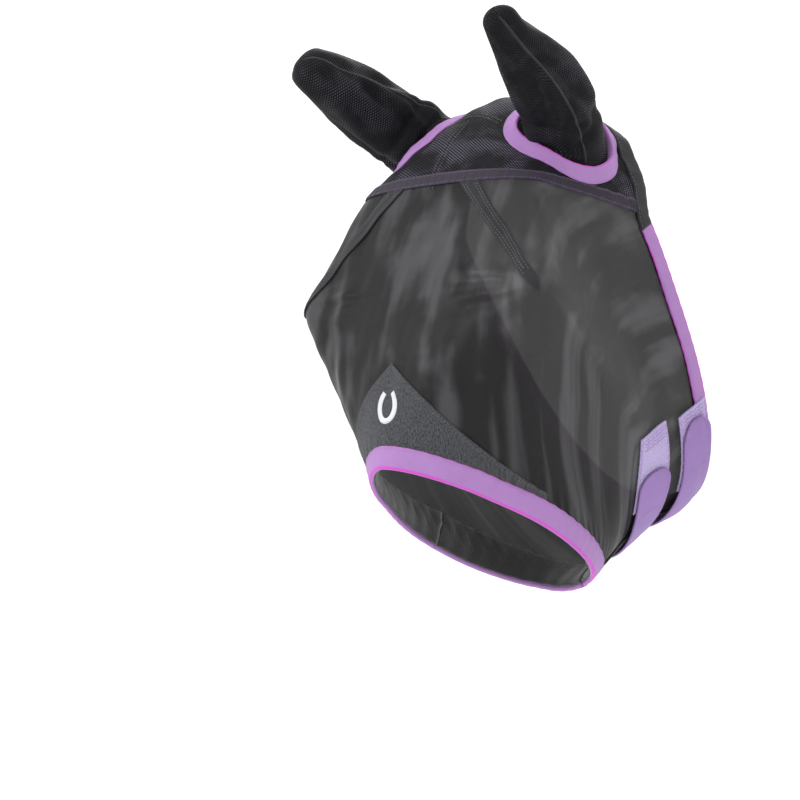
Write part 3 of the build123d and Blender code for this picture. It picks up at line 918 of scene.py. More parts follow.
def finishes():
    """Every finish of the mask, by its slot in the record or its use here, made once."""
    if "finishes" not in _made:
        colours, sizes = bpy.context.scene.fly_mask_colours, bpy.context.scene.fly_mask_sizes
        purple, edge, tape = colours.binding, colours.binding_fold_shade, colours.tape
        _made["finishes"] = {
            "fine_mesh": mesh_finish(colours, sizes),
            # the crown cloth's painted thread highlights take this purplish grey
            "crown_cloth": cloth_finish("crown cloth", colours, sizes, colours.cloth, (0.034, 0.031, 0.043)),
            "ear_cloth": cloth_finish("ear cloth", colours, sizes, colours.cloth),
            "purple_binding": ribbed_finish("purple binding", purple, edge, fold_marks(NOSE_WIDTH)),
            "rear_binding": ribbed_finish("rear binding", purple, edge, fold_marks(REAR_WIDTH)),
            "ring_binding": ribbed_finish("ring binding", purple, edge, ((0.0, 1.3), (14.6, 1.5))),
            "poll_binding": ribbed_finish("poll binding", tape, tape, fold_marks(REAR_WIDTH), depth=0.2),
            "heather_patch": heather_finish(colours),
            "padded_lining": pile_finish("padded lining", colours.lining, 2.2, 0.5, 1.8),
            "loop_pile": pile_finish("loop pile", colours.loop),
            "hook_pad": pile_finish("hook pad", colours.strap, 1.2, 0.8),
            "strap_webbing": ribbed_finish("strap webbing", colours.strap, colours.strap,
                                           ((0.0, 1.0),), rib=1.3, lean=0.6, depth=0.22),
            "brow_tape": ribbed_finish("brow tape", colours.brow_tape, colours.brow_edge,
                                       ((11.5, 1.8), (22.5, 2.0)), rib=1.7, lean=1.1, depth=0.5),
            "seam_tape": ribbed_finish("seam tape", tape, tape, ((0.0, 1.0),), rib=1.25, lean=0.9, depth=0.3),
            "thread_black": thread_finish("black thread", colours.thread),
            "thread_purple": thread_finish("purple thread", colours.purple_thread),
            "thread_white": thread_finish("embroidery thread", colours.emblem),
        }
    return _made["finishes"]


def settle(made, body, slot, *nodes):
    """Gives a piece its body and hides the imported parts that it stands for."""
    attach(made, body)
    return stand_for(made, slot, *nodes)


def stand_for(made, slot, *nodes):
    if nodes:
        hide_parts(*nodes)
    return made


def bend_with_flap(made, slot, *nodes):
    """A piece of the jaw flap, sewn to the hood along the hinge: bakes its transform and hides the imported
    parts that it stands for.
    """
    run = normalised(np.array(HINGE[1]) - np.array(HINGE[0]))
    down = Vector((0, run[1], -run[0]))
    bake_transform(made)
    return stand_for(made, slot, *nodes)


def bend_with_ear(made, name, side, slot, *nodes):
    """An ear cover, sewn to its ring: bakes its transform and hides the imported parts that it stands for."""
    centre, _, _, normal = ear_frame(side)
    start, end = (Vector((centre + normal * height) * MM) for height in (1.0, 30.0))
    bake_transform(made)
    return stand_for(made, slot, *nodes)


def bend_with_strap(made, which, slot, *nodes):
    """A strap, sewn to its anchor: bakes its transform and hides the imported parts that it stands for."""
    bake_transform(made)
    return stand_for(made, slot, *nodes)


# ---- lines on the hood -------------------------------------------------------------------------
def from_closure(points):
    """A closed line, started at the closure under the jaw on the flap's side."""
    turned = np.arctan2(points[:, 0], np.hypot(FAN_Y - points[:, 1], points[:, 2] - FAN_Z) - AXIS_REACH)
    order = np.argsort(np.degrees(turned) % 360)
    points = points[order]
    under = np.degrees(turned[order]) % 360
    first = np.nonzero((under > 90) & (points[:, 0] < CLOSURE_X))[0][0]
    return np.roll(points, -first, axis=0)


def edge_lines():
    """The nose edge and the rear edge, each as its flap's part and its hood's part."""
    if "edges" not in _made:
        skin = hood_skin()
        parts = {}
        for name, condition in (("nose", inside_nose), ("rear", inside_rear)):
            points = from_closure(skin.line(condition))
            whole = np.vstack((points, points[:1]))
            parts[name] = (part_of(whole[:-1], in_flap), part_of(whole[:-1], outside_flap))
        _made["edges"] = parts
    return _made["edges"]


def outside_flap(points):
    return -in_flap(points) - 1e-4


def brow_line(shift):
    """A line that runs beside the brow seam, from cheek to cheek."""
    points = hood_skin().line(lambda p: above_brow(p) - shift, start=180)
    return part_of(points, lambda p: inside_rear(p) - REAR_WIDTH)


def strap_line(which, shift=0.0, drop=0.0):
    """The middle of a strap, from the near cheek round under the jaw to its root."""
    top = np.array(STRAP_TOPS[which])
    run = np.array((math.sin(STRAP_LEAN), -math.cos(STRAP_LEAN)))
    across = np.array((run[1], -run[0]))
    points = hood_skin().line(lambda p: (p[:, 1:3] - top) @ across - shift, start=95)
    points = points[(points[:, 2] < -150) & (points[:, 1] > 60)]
    near = points[:, 0] > 0
    started = part_of(points, lambda p: np.where(p[:, 0] > 0, (p[:, 1:3] - top) @ run - drop, 1.0))
    return started if near.any() else points


def until(points, root_x):
    return part_of(points, lambda p: p[:, 0] - root_x)


# ---- settings ----------------------------------------------------------------------------------
def length_property(name, description, default):
    return FloatProperty(name=name, description=description, default=default * MM, min=0.0,
                         subtype="DISTANCE", unit="LENGTH", precision=4)


def colour_property(name, description, default):
    return FloatVectorProperty(name=name, description=description, default=default, size=3,
                               min=0.0, max=1.0, subtype="COLOR")


class FlyMaskSizes(bpy.types.PropertyGroup):
    mesh_pitch: length_property("Mesh pitch", "From one thread of the see-through mesh to the next", 1.05)
    cloth_pitch: length_property("Cloth pitch", "From one raised thread of the crown cloth to the next", 1.9)
    stitch_pitch: length_property("Stitch pitch", "From one stitch to the next", 3.4)
    thread: length_property("Thread", "Thickness of the sewing thread", 0.62)
    eye_peak: length_property("Eye peak", "How far the cloth stands out over an eye", 6.0)
    fold: length_property("Folds", "Depth of the soft folds of the worn cloth", 1.5)
    ear_fold: length_property("Ear folds", "Depth of the folds of the ear covers", 4.6)


class FlyMaskColours(bpy.types.PropertyGroup):
    mesh: colour_property("Mesh", "The see-through mesh", (0.012, 0.0115, 0.0125))
    cloth: colour_property("Cloth", "The crown and the ear covers", (0.013, 0.0125, 0.0165))
    binding: colour_property("Binding", "The folded bindings and the ear rings", (0.36, 0.185, 0.45))
    # painted shade: the magenta along the turned-over edges of the bindings and ear rings
    binding_fold_shade: colour_property("Binding edge", "Along both edges of a binding", (0.56, 0.055, 0.5))
    strap: colour_property("Strap", "The webbing of the straps", (0.28, 0.165, 0.42))
    loop: colour_property("Loop pile", "The fuzzy patches that take the straps", (0.43, 0.34, 0.64))
    heather: colour_property("Nose patch", "The heather patch on the nose", (0.042, 0.043, 0.049))
    tape: colour_property("Tape", "The dart tapes and the poll binding", (0.0125, 0.0125, 0.015))
    brow_tape: colour_property("Brow tape", "The ribbed tape over the brow seam", (0.017, 0.009, 0.026))
    brow_edge: colour_property("Brow tape edge", "Along both edges of the brow tape", (0.05, 0.02, 0.075))
    lining: colour_property("Lining", "The padded band inside the nose edge", (0.014, 0.014, 0.016))
    thread: colour_property("Black thread", "Stitches in black cloth", (0.05, 0.05, 0.056))
    purple_thread: colour_property("Purple thread", "Stitches in the bindings and straps", (0.36, 0.16, 0.46))
    emblem: colour_property("Emblem", "The embroidered horseshoe", (0.72, 0.72, 0.74))


def settings():
    return bpy.context.scene.fly_mask_sizes, finishes()


# ---- operators ---------------------------------------------------------------------------------
class StageOperator(bpy.types.Operator):
    """Set up the pale sweep, the soft lights and the camera"""
    bl_idname = "fly_mask.stage"
    bl_label = "Stage"

    AIM = Vector((-0.0505, -0.0505, -0.2447))
    TOWARDS = Vector((0.7033, -0.7033, -0.1045))
    DISTANCE = 5.4675
    LENS = 300.0
    FLOOR = -1.3

    def execute(self, context):
        self.sweep(context)
        self.lights(context)
        camera = bpy.data.objects.new("Camera", bpy.data.cameras.new("Camera"))
        context.scene.collection.objects.link(camera)
        towards = self.TOWARDS.normalized()
        camera.location = self.AIM + towards * self.DISTANCE
        camera.rotation_mode = "QUATERNION"
        camera.rotation_quaternion = (-towards).to_track_quat("-Z", "Y")
        camera.data.lens = self.LENS
        camera.data.sensor_width = 36.0
        camera.data.clip_start, camera.data.clip_end = 0.05, 60
        context.scene.camera = camera
        context.scene.view_settings.view_transform = "Standard"
        return {"FINISHED"}

    def sweep(self, context):
        """A round floor whose rim rises, so that it is a backdrop from every side."""
        rings = [(0.001, 0.0), (1.0, 0.0), (3.0, 0.0), (6.0, 0.0)]
        rings += [(6 + 3 * math.sin(t), 3 - 3 * math.cos(t)) for t in np.linspace(0.15, 1.5, 12)]
        rings += [(9.0, 6.0), (9.0, 9.0)]
        around = np.linspace(0, 2 * np.pi, 96, endpoint=False)
        points = [(r * math.cos(t), r * math.sin(t), self.FLOOR + h) for r, h in rings for t in around]
        faces = []
        for i in range(len(rings) - 1):
            for k in range(96):
                after = (k + 1) % 96
                faces.append((i * 96 + k, i * 96 + after, i * 96 + 96 + after, i * 96 + 96 + k))
        mesh = bpy.data.meshes.new("studio_sweep")
        mesh.from_pydata(points, [], faces)
        mesh.polygons.foreach_set("use_smooth", [True] * len(faces))
        mesh.materials.append(floor_finish())
        sweep = bpy.data.objects.new("studio_sweep", mesh)
        context.scene.collection.objects.link(sweep)

    def lights(self, context):
        world = bpy.data.worlds.new("Studio")
        world.use_nodes = True
        background = world.node_tree.nodes["Background"]
        background.inputs[0].default_value = (1, 1, 1, 1)
        background.inputs[1].default_value = 0.62
        context.scene.world = world
        lights = (
            ("key", (-1.1, -2.3, 0.9), 1.1, 30),
            ("fill", (2.7, -0.7, 0.9), 1.4, 6),
            ("rim", (-1.4, 1.9, 1.7), 1.0, 18),
            ("top", (0.5, -0.4, 2.3), 0.9, 20),
            ("streak", (0.9, -2.0, 1.3), 0.3, 6),
        )
        for name, place, size, power in lights:
            data = bpy.data.lights.new(name, "AREA")
            data.size, data.energy = size, power
            lamp = bpy.data.objects.new(name, data)
            context.scene.collection.objects.link(lamp)
            lamp.location = place
            aim = Vector((0, -0.02, -0.17)) - Vector(place)
            lamp.rotation_mode = "QUATERNION"
            lamp.rotation_quaternion = aim.to_track_quat("-Z", "Y")


class MeshOperator(bpy.types.Operator):
    """Sew the see-through mesh of the face, and of the flap under the jaw"""
    bl_idname = "fly_mask.mesh"
    bl_label = "Mesh"

    def execute(self, context):
        _, finish = settings()
        below = lambda p: -above_brow(p)
        face = sheet_piece("face_mesh_cloth", finish["fine_mesh"],
                           (inside_rear, inside_nose, below, on_hood))
        settle(face, "hood", "fine_mesh", "face_mesh")
        flap = sheet_piece("flap_mesh_cloth", finish["fine_mesh"],
                           (inside_rear, inside_nose, in_flap))
        bend_with_flap(flap, "fine_mesh", "flap_mesh")
        return {"FINISHED"}


class CrownOperator(bpy.types.Operator):
    """Sew the solid cloth of the crown: a panel round each ear and one between them"""
    bl_idname = "fly_mask.crown"
    bl_label = "Crown"

    def execute(self, context):
        _, finish = settings()
        clear = [lambda p, s=s: from_ear(s)(p) - EAR_HOLE + 0.6 for s in (1, -1)]
        outside_poll = lambda p: -in_poll(p)
        for name, side in (("near", 1), ("off", -1)):
            own = lambda p, s=side: p[:, 0] * s
            ear = clear[0] if side > 0 else clear[1]
            made = slab_piece(f"{name}_crown_cloth", finish["crown_cloth"],
                              (above_brow, inside_rear, own, outside_poll, ear), *CLOTH, soft=0)
            settle(made, "hood", "crown_cloth", f"{name}_crown_panel")
        poll = slab_piece("poll_cloth", finish["crown_cloth"],
                          (above_brow, inside_rear, in_poll, *clear), *CLOTH, soft=0)
        settle(poll, "hood", "crown_cloth", "poll_panel")
        return {"FINISHED"}


class TapesOperator(bpy.types.Operator):
    """Sew the tapes over the brow and the darts, the hidden seam tapes and the closure's edges"""
    bl_idname = "fly_mask.tapes"
    bl_label = "Seam tapes"

    def execute(self, context):
        sizes, finish = settings()
        self.brow(sizes, finish)
        self.darts(sizes, finish)
        self.hidden(finish)
        self.closure(sizes, finish)
        return {"FINISHED"}

    def brow(self, sizes, finish):
        line = brow_line(-1.0)
        route = Route(line, above_brow)
        tape = strip_piece("brow_tape_band", finish["brow_tape"], route,
                           band(0, BROW_TAPE, *TAPE, every=2.6), pucker=0.12, period=4.2)
        settle(tape, "hood", "brow_tape", "brow_tape")
        rows = [route.shifted(w) for w in (1.5, BROW_TAPE - 1.6)]
        sewn = stitches("brow_tape_stitches", finish["thread_black"], rows, sizes, [TAPE[1]] * 2)
        settle(sewn, "hood", "brow_tape")

    def darts(self, sizes, finish):
        skin = hood_skin()
        for name, side in (("near", 1), ("off", -1)):
            outer, inner = (dart_edge(i, side) for i in (0, 1))
            ahead = lambda p: DART_REAR[0] - DART_REAR[1] * np.abs(p[:, 0]) - p[:, 1]
            below = lambda p: -above_brow(p) - 1.15
            own = lambda p, s=side: p[:, 0] * s
            made = slab_piece(f"{name}_dart_tape_band", finish["seam_tape"],
                              (below, ahead, own, outer, inner), *TAPE)
            settle(made, "hood", "seam_tape", f"{name}_dart_tape")
            rows = []
            for which, other in ((0, inner), (1, outer)):
                start, end, inwards = dart_side(which)
                for inset in (1.6, 3.6):
                    flat = np.linspace(start, end, 90)[:86] + inwards * inset
                    line = np.stack((flat[:, 0] * side, np.full(86, -80.0), flat[:, 1]), axis=1)
                    line = skin.drop(line, np.array((0.0, 1.0, 0.0)))
                    rows.append(part_of(line, lambda p: np.minimum.reduce(
                        (other(p) - inset - 0.4, ahead(p) - 1, below(p) - 1, own(p)))))
            sewn = stitches(f"{name}_dart_stitches", finish["thread_black"], rows, sizes,
                            [TAPE[1]] * 4)
            settle(sewn, "hood", "seam_tape")

    def hidden(self, finish):
        skin = hood_skin()
        low, high = -1.05, -0.15
        front = np.stack((np.zeros(40), np.linspace(-66, POLL_SEAM_Y - 5, 40), np.zeros(40)), axis=1)
        centre = Route(skin.drop(front, np.array((0.0, 0.0, 1.0))))
        tape = strip_piece("crown_centre_tape_band", finish["seam_tape"], centre,
                           band(-4.5, 4.5, low, high))
        settle(tape, "hood", "seam_tape", "crown_centre_tape")
        cross = np.stack((np.linspace(-33, 33, 40), np.full(40, POLL_SEAM_Y), np.zeros(40)), axis=1)
        seam = Route(skin.drop(cross, np.array((0.0, 0.0, 1.0))))
        tape = strip_piece("poll_seam_tape_band", finish["seam_tape"], seam,
                           band(-4.5, 4.5, low, high))
        settle(tape, "hood", "seam_tape", "poll_seam_tape")
        rows = [route.shifted(w) for route in (centre, seam) for w in (-2.4, 2.4)]
        sewn = stitches("crown_seam_stitches", finish["thread_black"], rows, settings()[0],
                        [CLOTH[1]] * 4)
        settle(sewn, "hood", "crown_cloth")

    def closure(self, sizes, finish):
        skin = hood_skin()
        for name, start in (("near", CLOSURE_X + CLOSURE_GAP), ("flap", CLOSURE_X - 9.0)):
            count = 60
            share = np.linspace(0, 1, count)[:, None]
            low, high = np.array((106.0, -395.0)), np.array((206.0, -323.0))
            under = low * (1 - share) + high * share
            line = np.hstack((np.full((count, 1), start), under))
            line = skin.drop(line, np.array((0.0, 0.57, -0.82)))
            line = part_of(line, lambda p: np.minimum(inside_nose(p) - NOSE_WIDTH,
                                                      inside_rear(p) - REAR_WIDTH))
            route = Route(line, lambda p: p[:, 0])
            made = strip_piece(f"{name}_edge_tape_band", finish["seam_tape"], route,
                               band(0, 9, *TAPE))
            rows = [route.shifted(w) for w in (1.5, 7.5)]
            sewn = stitches(f"{name}_edge_stitches", finish["thread_black"], rows, sizes,
                            [TAPE[1]] * 2)
            if name == "near":
                settle(made, "hood", "seam_tape", "near_edge_tape")
                settle(sewn, "hood", "seam_tape")
            else:
                bend_with_flap(made, "seam_tape", "flap_edge_tape")
                bend_with_flap(sewn, "seam_tape")


def dart_side(which):
    """One of a dart's two edges in front view: its start, its end and the way inwards."""
    start, end = np.array(DART_TOP[which]), np.array(DART_TIP[which])
    run = normalised(end - start)
    inwards = np.array((run[1], -run[0]))
    return start, end, inwards * np.sign((np.array(DART_TOP[1 - which]) - start) @ inwards)


def dart_edge(which, side):
    """A condition: inside that edge of the dart."""
    start, _, inwards = dart_side(which)
    return lambda p: (np.stack((p[:, 0] * side, p[:, 2]), axis=1) - start) @ inwards


class PatchOperator(bpy.types.Operator):
    """Sew the heather patch on the nose, with a plain embroidered horseshoe"""
    bl_idname = "fly_mask.patch"
    bl_label = "Nose patch"

    def execute(self, context):
        sizes, finish = settings()
        skin = hood_skin()
        normal = normalised(np.array(PATCH_NORMAL))
        apex = np.array(PATCH_APEX)
        near = lambda p: -(p - apex) @ normal
        off = lambda p: -(p - apex) @ (normal * (-1, 1, 1))
        front = lambda p: -12.0 - p[:, 1]
        above = lambda p: inside_nose(p) - NOSE_WIDTH + 4.0
        patch = slab_piece("nose_patch_cloth", finish["heather_patch"], (near, off, front, above), *TAPE)
        settle(patch, "hood", "heather_patch", "nose_patch")
        rows = []
        for condition in (near, off):
            for inset in (1.6, 3.4):
                line = skin.line(lambda p: condition(p) - inset, start=180)
                line = part_of(line, lambda p: np.minimum.reduce(
                    (above(p) - 5, front(p), near(p) - inset + 0.3, off(p) - inset + 0.3, -p[:, 1] - 14)))
                rows.append(line)
        sewn = stitches("nose_patch_stitches", finish["thread_black"], rows, sizes, [TAPE[1]] * 4)
        settle(sewn, "hood", "heather_patch")
        self.horseshoe(finish, skin)
        return {"FINISHED"}

    def horseshoe(self, finish, skin):
        turn = np.linspace(-math.radians(146), math.radians(146), 90)
        x = 8.6 * np.sin(turn)
        z = -258.5 - 12.5 * np.cos(turn)
        start = np.stack((x, np.full(90, -150.0), z), axis=1)
        line = skin.drop(start, np.array((0.0, 1.0, 0.0)))
        route = Route(line, step=0.7, rounds=2)
        count = len(route.points)
        rows = []
        for i in range(0, count):
            here, side = route.points[i], route.inward[i]
            rows.append(np.array([here - side * 2.3, here, here + side * 2.3]))
        made = satin_stitches("horseshoe_emblem", finish["thread_white"], rows)
        settle(made, "hood", "heather_patch")


def satin_stitches(name, finish, rows):
    """Close rows of thread laid side by side, as embroidery."""
    skin = hood_skin()
    circle = np.linspace(0, 2 * np.pi, 6, endpoint=False)
    points, faces, corner_uv = [], [], []
    for row in rows:
        spots = resampled(row, 0.9)
        arch = np.sin(np.linspace(0.15, np.pi - 0.15, len(spots)))
        core = skin.onto(spots, TAPE[1] - 0.1 + 0.42 * arch)
        _, normal = skin.at(*skin.where(core))
        side = normalised(np.cross(normal, np.gradient(core, axis=0)))
        start, count = len(points), len(core)
        for spot, n, b in zip(core, normal, side):
            points.extend(spot + n * (0.34 * math.sin(c)) + b * (0.38 * math.cos(c)) for c in circle)
        for ring in range(count - 1):
            for k in range(6):
                after, a = (k + 1) % 6, start + ring * 6
                faces.append((a + k, a + after, a + 6 + after, a + 6 + k))
                corner_uv += [(ring, k), (ring, k + 1), (ring + 1, k + 1), (ring + 1, k)]
        for ring in (0, count - 1):
            faces.append([start + ring * 6 + k for k in range(6)])
            corner_uv += [(ring, k) for k in range(6)]
    return cloth_object(name, points, faces, corner_uv, finish)


class BindingsOperator(bpy.types.Operator):
    """Fold the bindings over the nose edge and the rear edge, and stitch them"""
    bl_idname = "fly_mask.bindings"
    bl_label = "Bindings"

    def execute(self, context):
        sizes, finish = settings()
        edges = edge_lines()
        flap_nose, hood_nose = edges["nose"]
        flap_rear, hood_rear = edges["rear"]
        rear = [("near_rear", below_join_near), ("off_rear", below_join_off), ("poll", above_join)]
        jobs = [("nose_binding", hood_nose, inside_nose, NOSE_WIDTH, "purple_binding", None),
                ("flap_nose_binding", flap_nose, inside_nose, NOSE_WIDTH, "purple_binding", "flap"),
                ("flap_rear_binding", flap_rear, inside_rear, REAR_WIDTH, "rear_binding", "flap")]
        for name, condition in rear:
            slot = "poll_binding" if name == "poll" else "rear_binding"
            jobs.append((f"{name}_binding", part_of(hood_rear, condition), inside_rear, REAR_WIDTH, slot, None))
        for name, line, inside, width, slot, flap in jobs:
            route = Route(line, inside)
            made = strip_piece(f"{name}_fold", finish[slot], route, folded(width), pucker=0.16, period=11.0)
            thread = "thread_black" if name == "poll_binding" else "thread_purple"
            rows = [route.shifted(width - 1.7), route.shifted(width - 1.7)]
            lifts = [FOLD_OUTER[1] + 0.1, FOLD_INNER[0]]
            sewn = stitches(f"{name}_stitches", finish[thread], rows, sizes, lifts)
            if flap:
                bend_with_flap(made, slot, name)
                bend_with_flap(sewn, slot)
            else:
                settle(made, "hood", slot, name)
                settle(sewn, "hood", slot)
        return {"FINISHED"}


def below_join_near(points):
    return np.minimum(BINDING_JOIN_Z - points[:, 2], points[:, 0])


def below_join_off(points):
    return np.minimum(BINDING_JOIN_Z - points[:, 2], -points[:, 0])


def above_join(points):
    return points[:, 2] - BINDING_JOIN_Z


class LiningOperator(bpy.types.Operator):
    """Line the nose edge inside with a padded band, quilted in short lengths"""
    bl_idname = "fly_mask.lining"
    bl_label = "Padded lining"

    def execute(self, context):
        _, finish = settings()
        flap_line, hood_line = edge_lines()["nose"]
        for name, line, flap in (("nose_lining", hood_line, False), ("flap_nose_lining", flap_line, True)):
            route = Route(line, inside_nose)
            low, high = LINING
            widths = np.linspace(1.5, LINING_WIDTH - 1.5, 9)
            plump = np.sin(np.linspace(0, np.pi, 9)) ** 0.5
            deep = [(w, low + 1.6 * (1 - p)) for w, p in zip(widths, plump)]
            flat = [(w, high) for w in widths[::-1]]
            made = strip_piece(f"{name}_pad", finish["padded_lining"], route,
                               deep + [(LINING_WIDTH, high - 1.3)] + flat + [(0.4, high - 1.3)],
                               pucker=0.35, period=17.0)
            if flap:
                bend_with_flap(made, "padded_lining", name)
            else:
                settle(made, "hood", "padded_lining", name)
        return {"FINISHED"}


class RingsOperator(bpy.types.Operator):
    """Bind each ear opening with a purple ring"""
    bl_idname = "fly_mask.rings"
    bl_label = "Ear rings"

    def execute(self, context):
        sizes, finish = settings()
        skin = hood_skin()
        for name, side in (("near", 1), ("off", -1)):
            centre, along, across, normal = ear_frame(side)
            turn = np.linspace(0, 2 * np.pi, 181)[:, None]
            ring = centre + RING_INNER * (along * np.cos(turn) + across * np.sin(turn))
            line = skin.drop(ring, normal)
            outward = lambda p, s=side: from_ear(s)(p)
            route = Route(line, outward, step=2.0, rounds=1, closed=True)
            low, high = RING
            width = RING_OUTER - RING_INNER
            collar = [(w, high - 1.2 + RING_STAND * (1 - w / width) ** 1.25)
                      for w in np.linspace(0.7, width - 0.5, 9)]
            profile = collar + [(width, low + 0.7), (width - 0.5, low)]
            profile += [(w, low) for w in (8.0, 4.0, 0.8)]
            profile += [(0.0, low + 1.0), (0.0, high - 2.4 + RING_STAND)]
            made = strip_piece(f"{name}_ear_ring_fold", finish["ring_binding"], route, profile,
                               pucker=0.14, period=9.3)
            settle(made, "hood", "ring_binding", f"{name}_ear_ring")
            loop = route.shifted(width - 1.8)
            rows = [np.vstack((loop, loop[:2]))]
            sewn = stitches(f"{name}_ear_ring_stitches", finish["thread_purple"], rows, sizes, [high - 0.7])
            settle(sewn, "hood", "ring_binding")
        return {"FINISHED"}


class Ear:
    """An ear cover, read from its packed panels by rays cast outwards from its middle line."""

    def __init__(self, name, side):
        self.side = side
        self.centre, along, _, normal = ear_frame(side)
        self.mirror = np.array((side, 1, 1))
        self.along, self.normal = along, normal
        tip = np.array(EAR_TIPS[name]) * self.mirror
        self.length, self.taper, self.bulge = EAR_SHAPES[name]
        self.knots = (normal * -EAR_FOOT_DEPTH, normal * EAR_RISE,
                      tip - normalised(tip) * EAR_TURN, tip)
        self.tree = tree_of(f"{name}_ear_front_panel", f"{name}_ear_back_panel")

    def place(self, progress):
        left = 1 - progress
        weights = (left**3, 3 * left**2 * progress, 3 * left * progress**2, progress**3)
        turning = 6 * left * progress
        slopes = (-3 * left**2, 3 * left**2 - turning, turning - 3 * progress**2, 3 * progress**2)
        middle = self.centre + sum(k * w for k, w in zip(self.knots, weights))
        run = normalised(sum(k * s for k, s in zip(self.knots, slopes)))
        along = normalised(self.along - run * (self.along @ run))
        return middle, along, np.cross(run, along) * self.side, run

    def radius(self, middle, aim):
        hit = self.tree.ray_cast(Vector(middle), Vector(aim))
        return None if hit[0] is None else hit[3] + 1.2

    def grid(self, rows, columns, sizes):
        """The cover's outside: rows from its foot to its tip, columns from the front's middle."""
        cap = 1 - np.array((0.034, 0.024, 0.016, 0.01, 0.006, 0.003, 0.001, 0.0))
        progress = np.concatenate((np.linspace(0.0, 0.955, rows - len(cap)), cap))
        turns = np.linspace(0, 2 * np.pi, columns, endpoint=False)
        points = np.zeros((rows, columns, 3))
        outwards = np.zeros((rows, columns, 3))
        known = np.full((rows, columns), np.nan)
        places = [self.place(p * self.length) for p in progress]
        for i, (middle, along, across, _) in enumerate(places):
            for j, turn in enumerate(turns):
                aim = -along * math.cos(turn) + across * math.sin(turn)
                outwards[i, j] = aim
                found = self.radius(middle, aim)
                if found is not None:
                    known[i, j] = found
        for i in range(rows):
            row = known[i]
            have = ~np.isnan(row)
            if have.sum() > columns // 2:
                index = np.arange(columns)
                known[i] = np.interp(index, index[have], row[have], period=columns)
            else:
                known[i] = known[i - 1]
        known = known * (1 - self.taper * smoothstep((progress - 0.5) / 0.42))[:, None]
        tip = 0.955
        for i, p in enumerate(progress):
            if p > tip:
                known[i] *= math.sqrt(max(0.0, 1 - ((p - tip) / (1 - tip)) ** 2)) * 0.98 + 0.005
        lift = self.folds(progress, turns, sizes)
        for i, (middle, _, _, _) in enumerate(places):
            points[i] = middle + outwards[i] * (known[i] + lift[i])[:, None]
        return progress, turns, points

    def folds(self, progress, turns, sizes):
        """The dents, creases and slack of a soft cover, and how far its back stands out."""
        p, t = np.meshgrid(progress, turns, indexing="ij")
        depth = sizes.ear_fold / MM
        window = smoothstep((p - 0.08) / 0.14) * smoothstep((0.985 - p) / 0.16)

        def groove(at, drift, width, low, high):
            where = np.angle(np.exp(1j * (t - at - drift * (p - 0.4)))) / width
            return np.exp(-(where**2)) * smoothstep((p - low) / 0.12) * smoothstep((high - p) / 0.2)

        grooves = np.zeros_like(p)
        for side in (-1, 1):
            grooves += groove(side * 0.75, side * 1.3, 0.22, 0.1, 0.8)
            grooves += 0.8 * groove(side * 2.15, -side * 1.1, 0.26, 0.15, 0.9)
            grooves += 0.7 * groove(side * 1.3, side * 2.6, 0.2, 0.05, 0.5)
            grooves -= 0.55 * groove(side * 1.08, side * 1.3, 0.16, 0.15, 0.85)
            grooves -= 0.45 * groove(side * 1.75, -side * 0.9, 0.2, 0.2, 0.8)
        bends = np.exp(-(((p - 0.2 - 0.05 * np.sin(2 * t)) / 0.035) ** 2))
        bends += 0.6 * np.exp(-(((p - 0.34 - 0.06 * np.sin(t + 1)) / 0.03) ** 2))
        slack = 0.22 * np.sin(3 * t + 9 * p) + 0.12 * np.sin(7 * t - 16 * p + 1)
        slack += 0.1 * np.sin(26 * p + 2 * np.sin(2 * t + self.side))
        back = np.exp(-((np.angle(np.exp(1j * (t - np.pi))) / 0.95) ** 2))
        stands = self.bulge * back * smoothstep((p - 0.25) / 0.25) * smoothstep((1.0 - p) / 0.08)
        return depth * window * (slack - 0.8 * grooves - 0.7 * bends) + stands


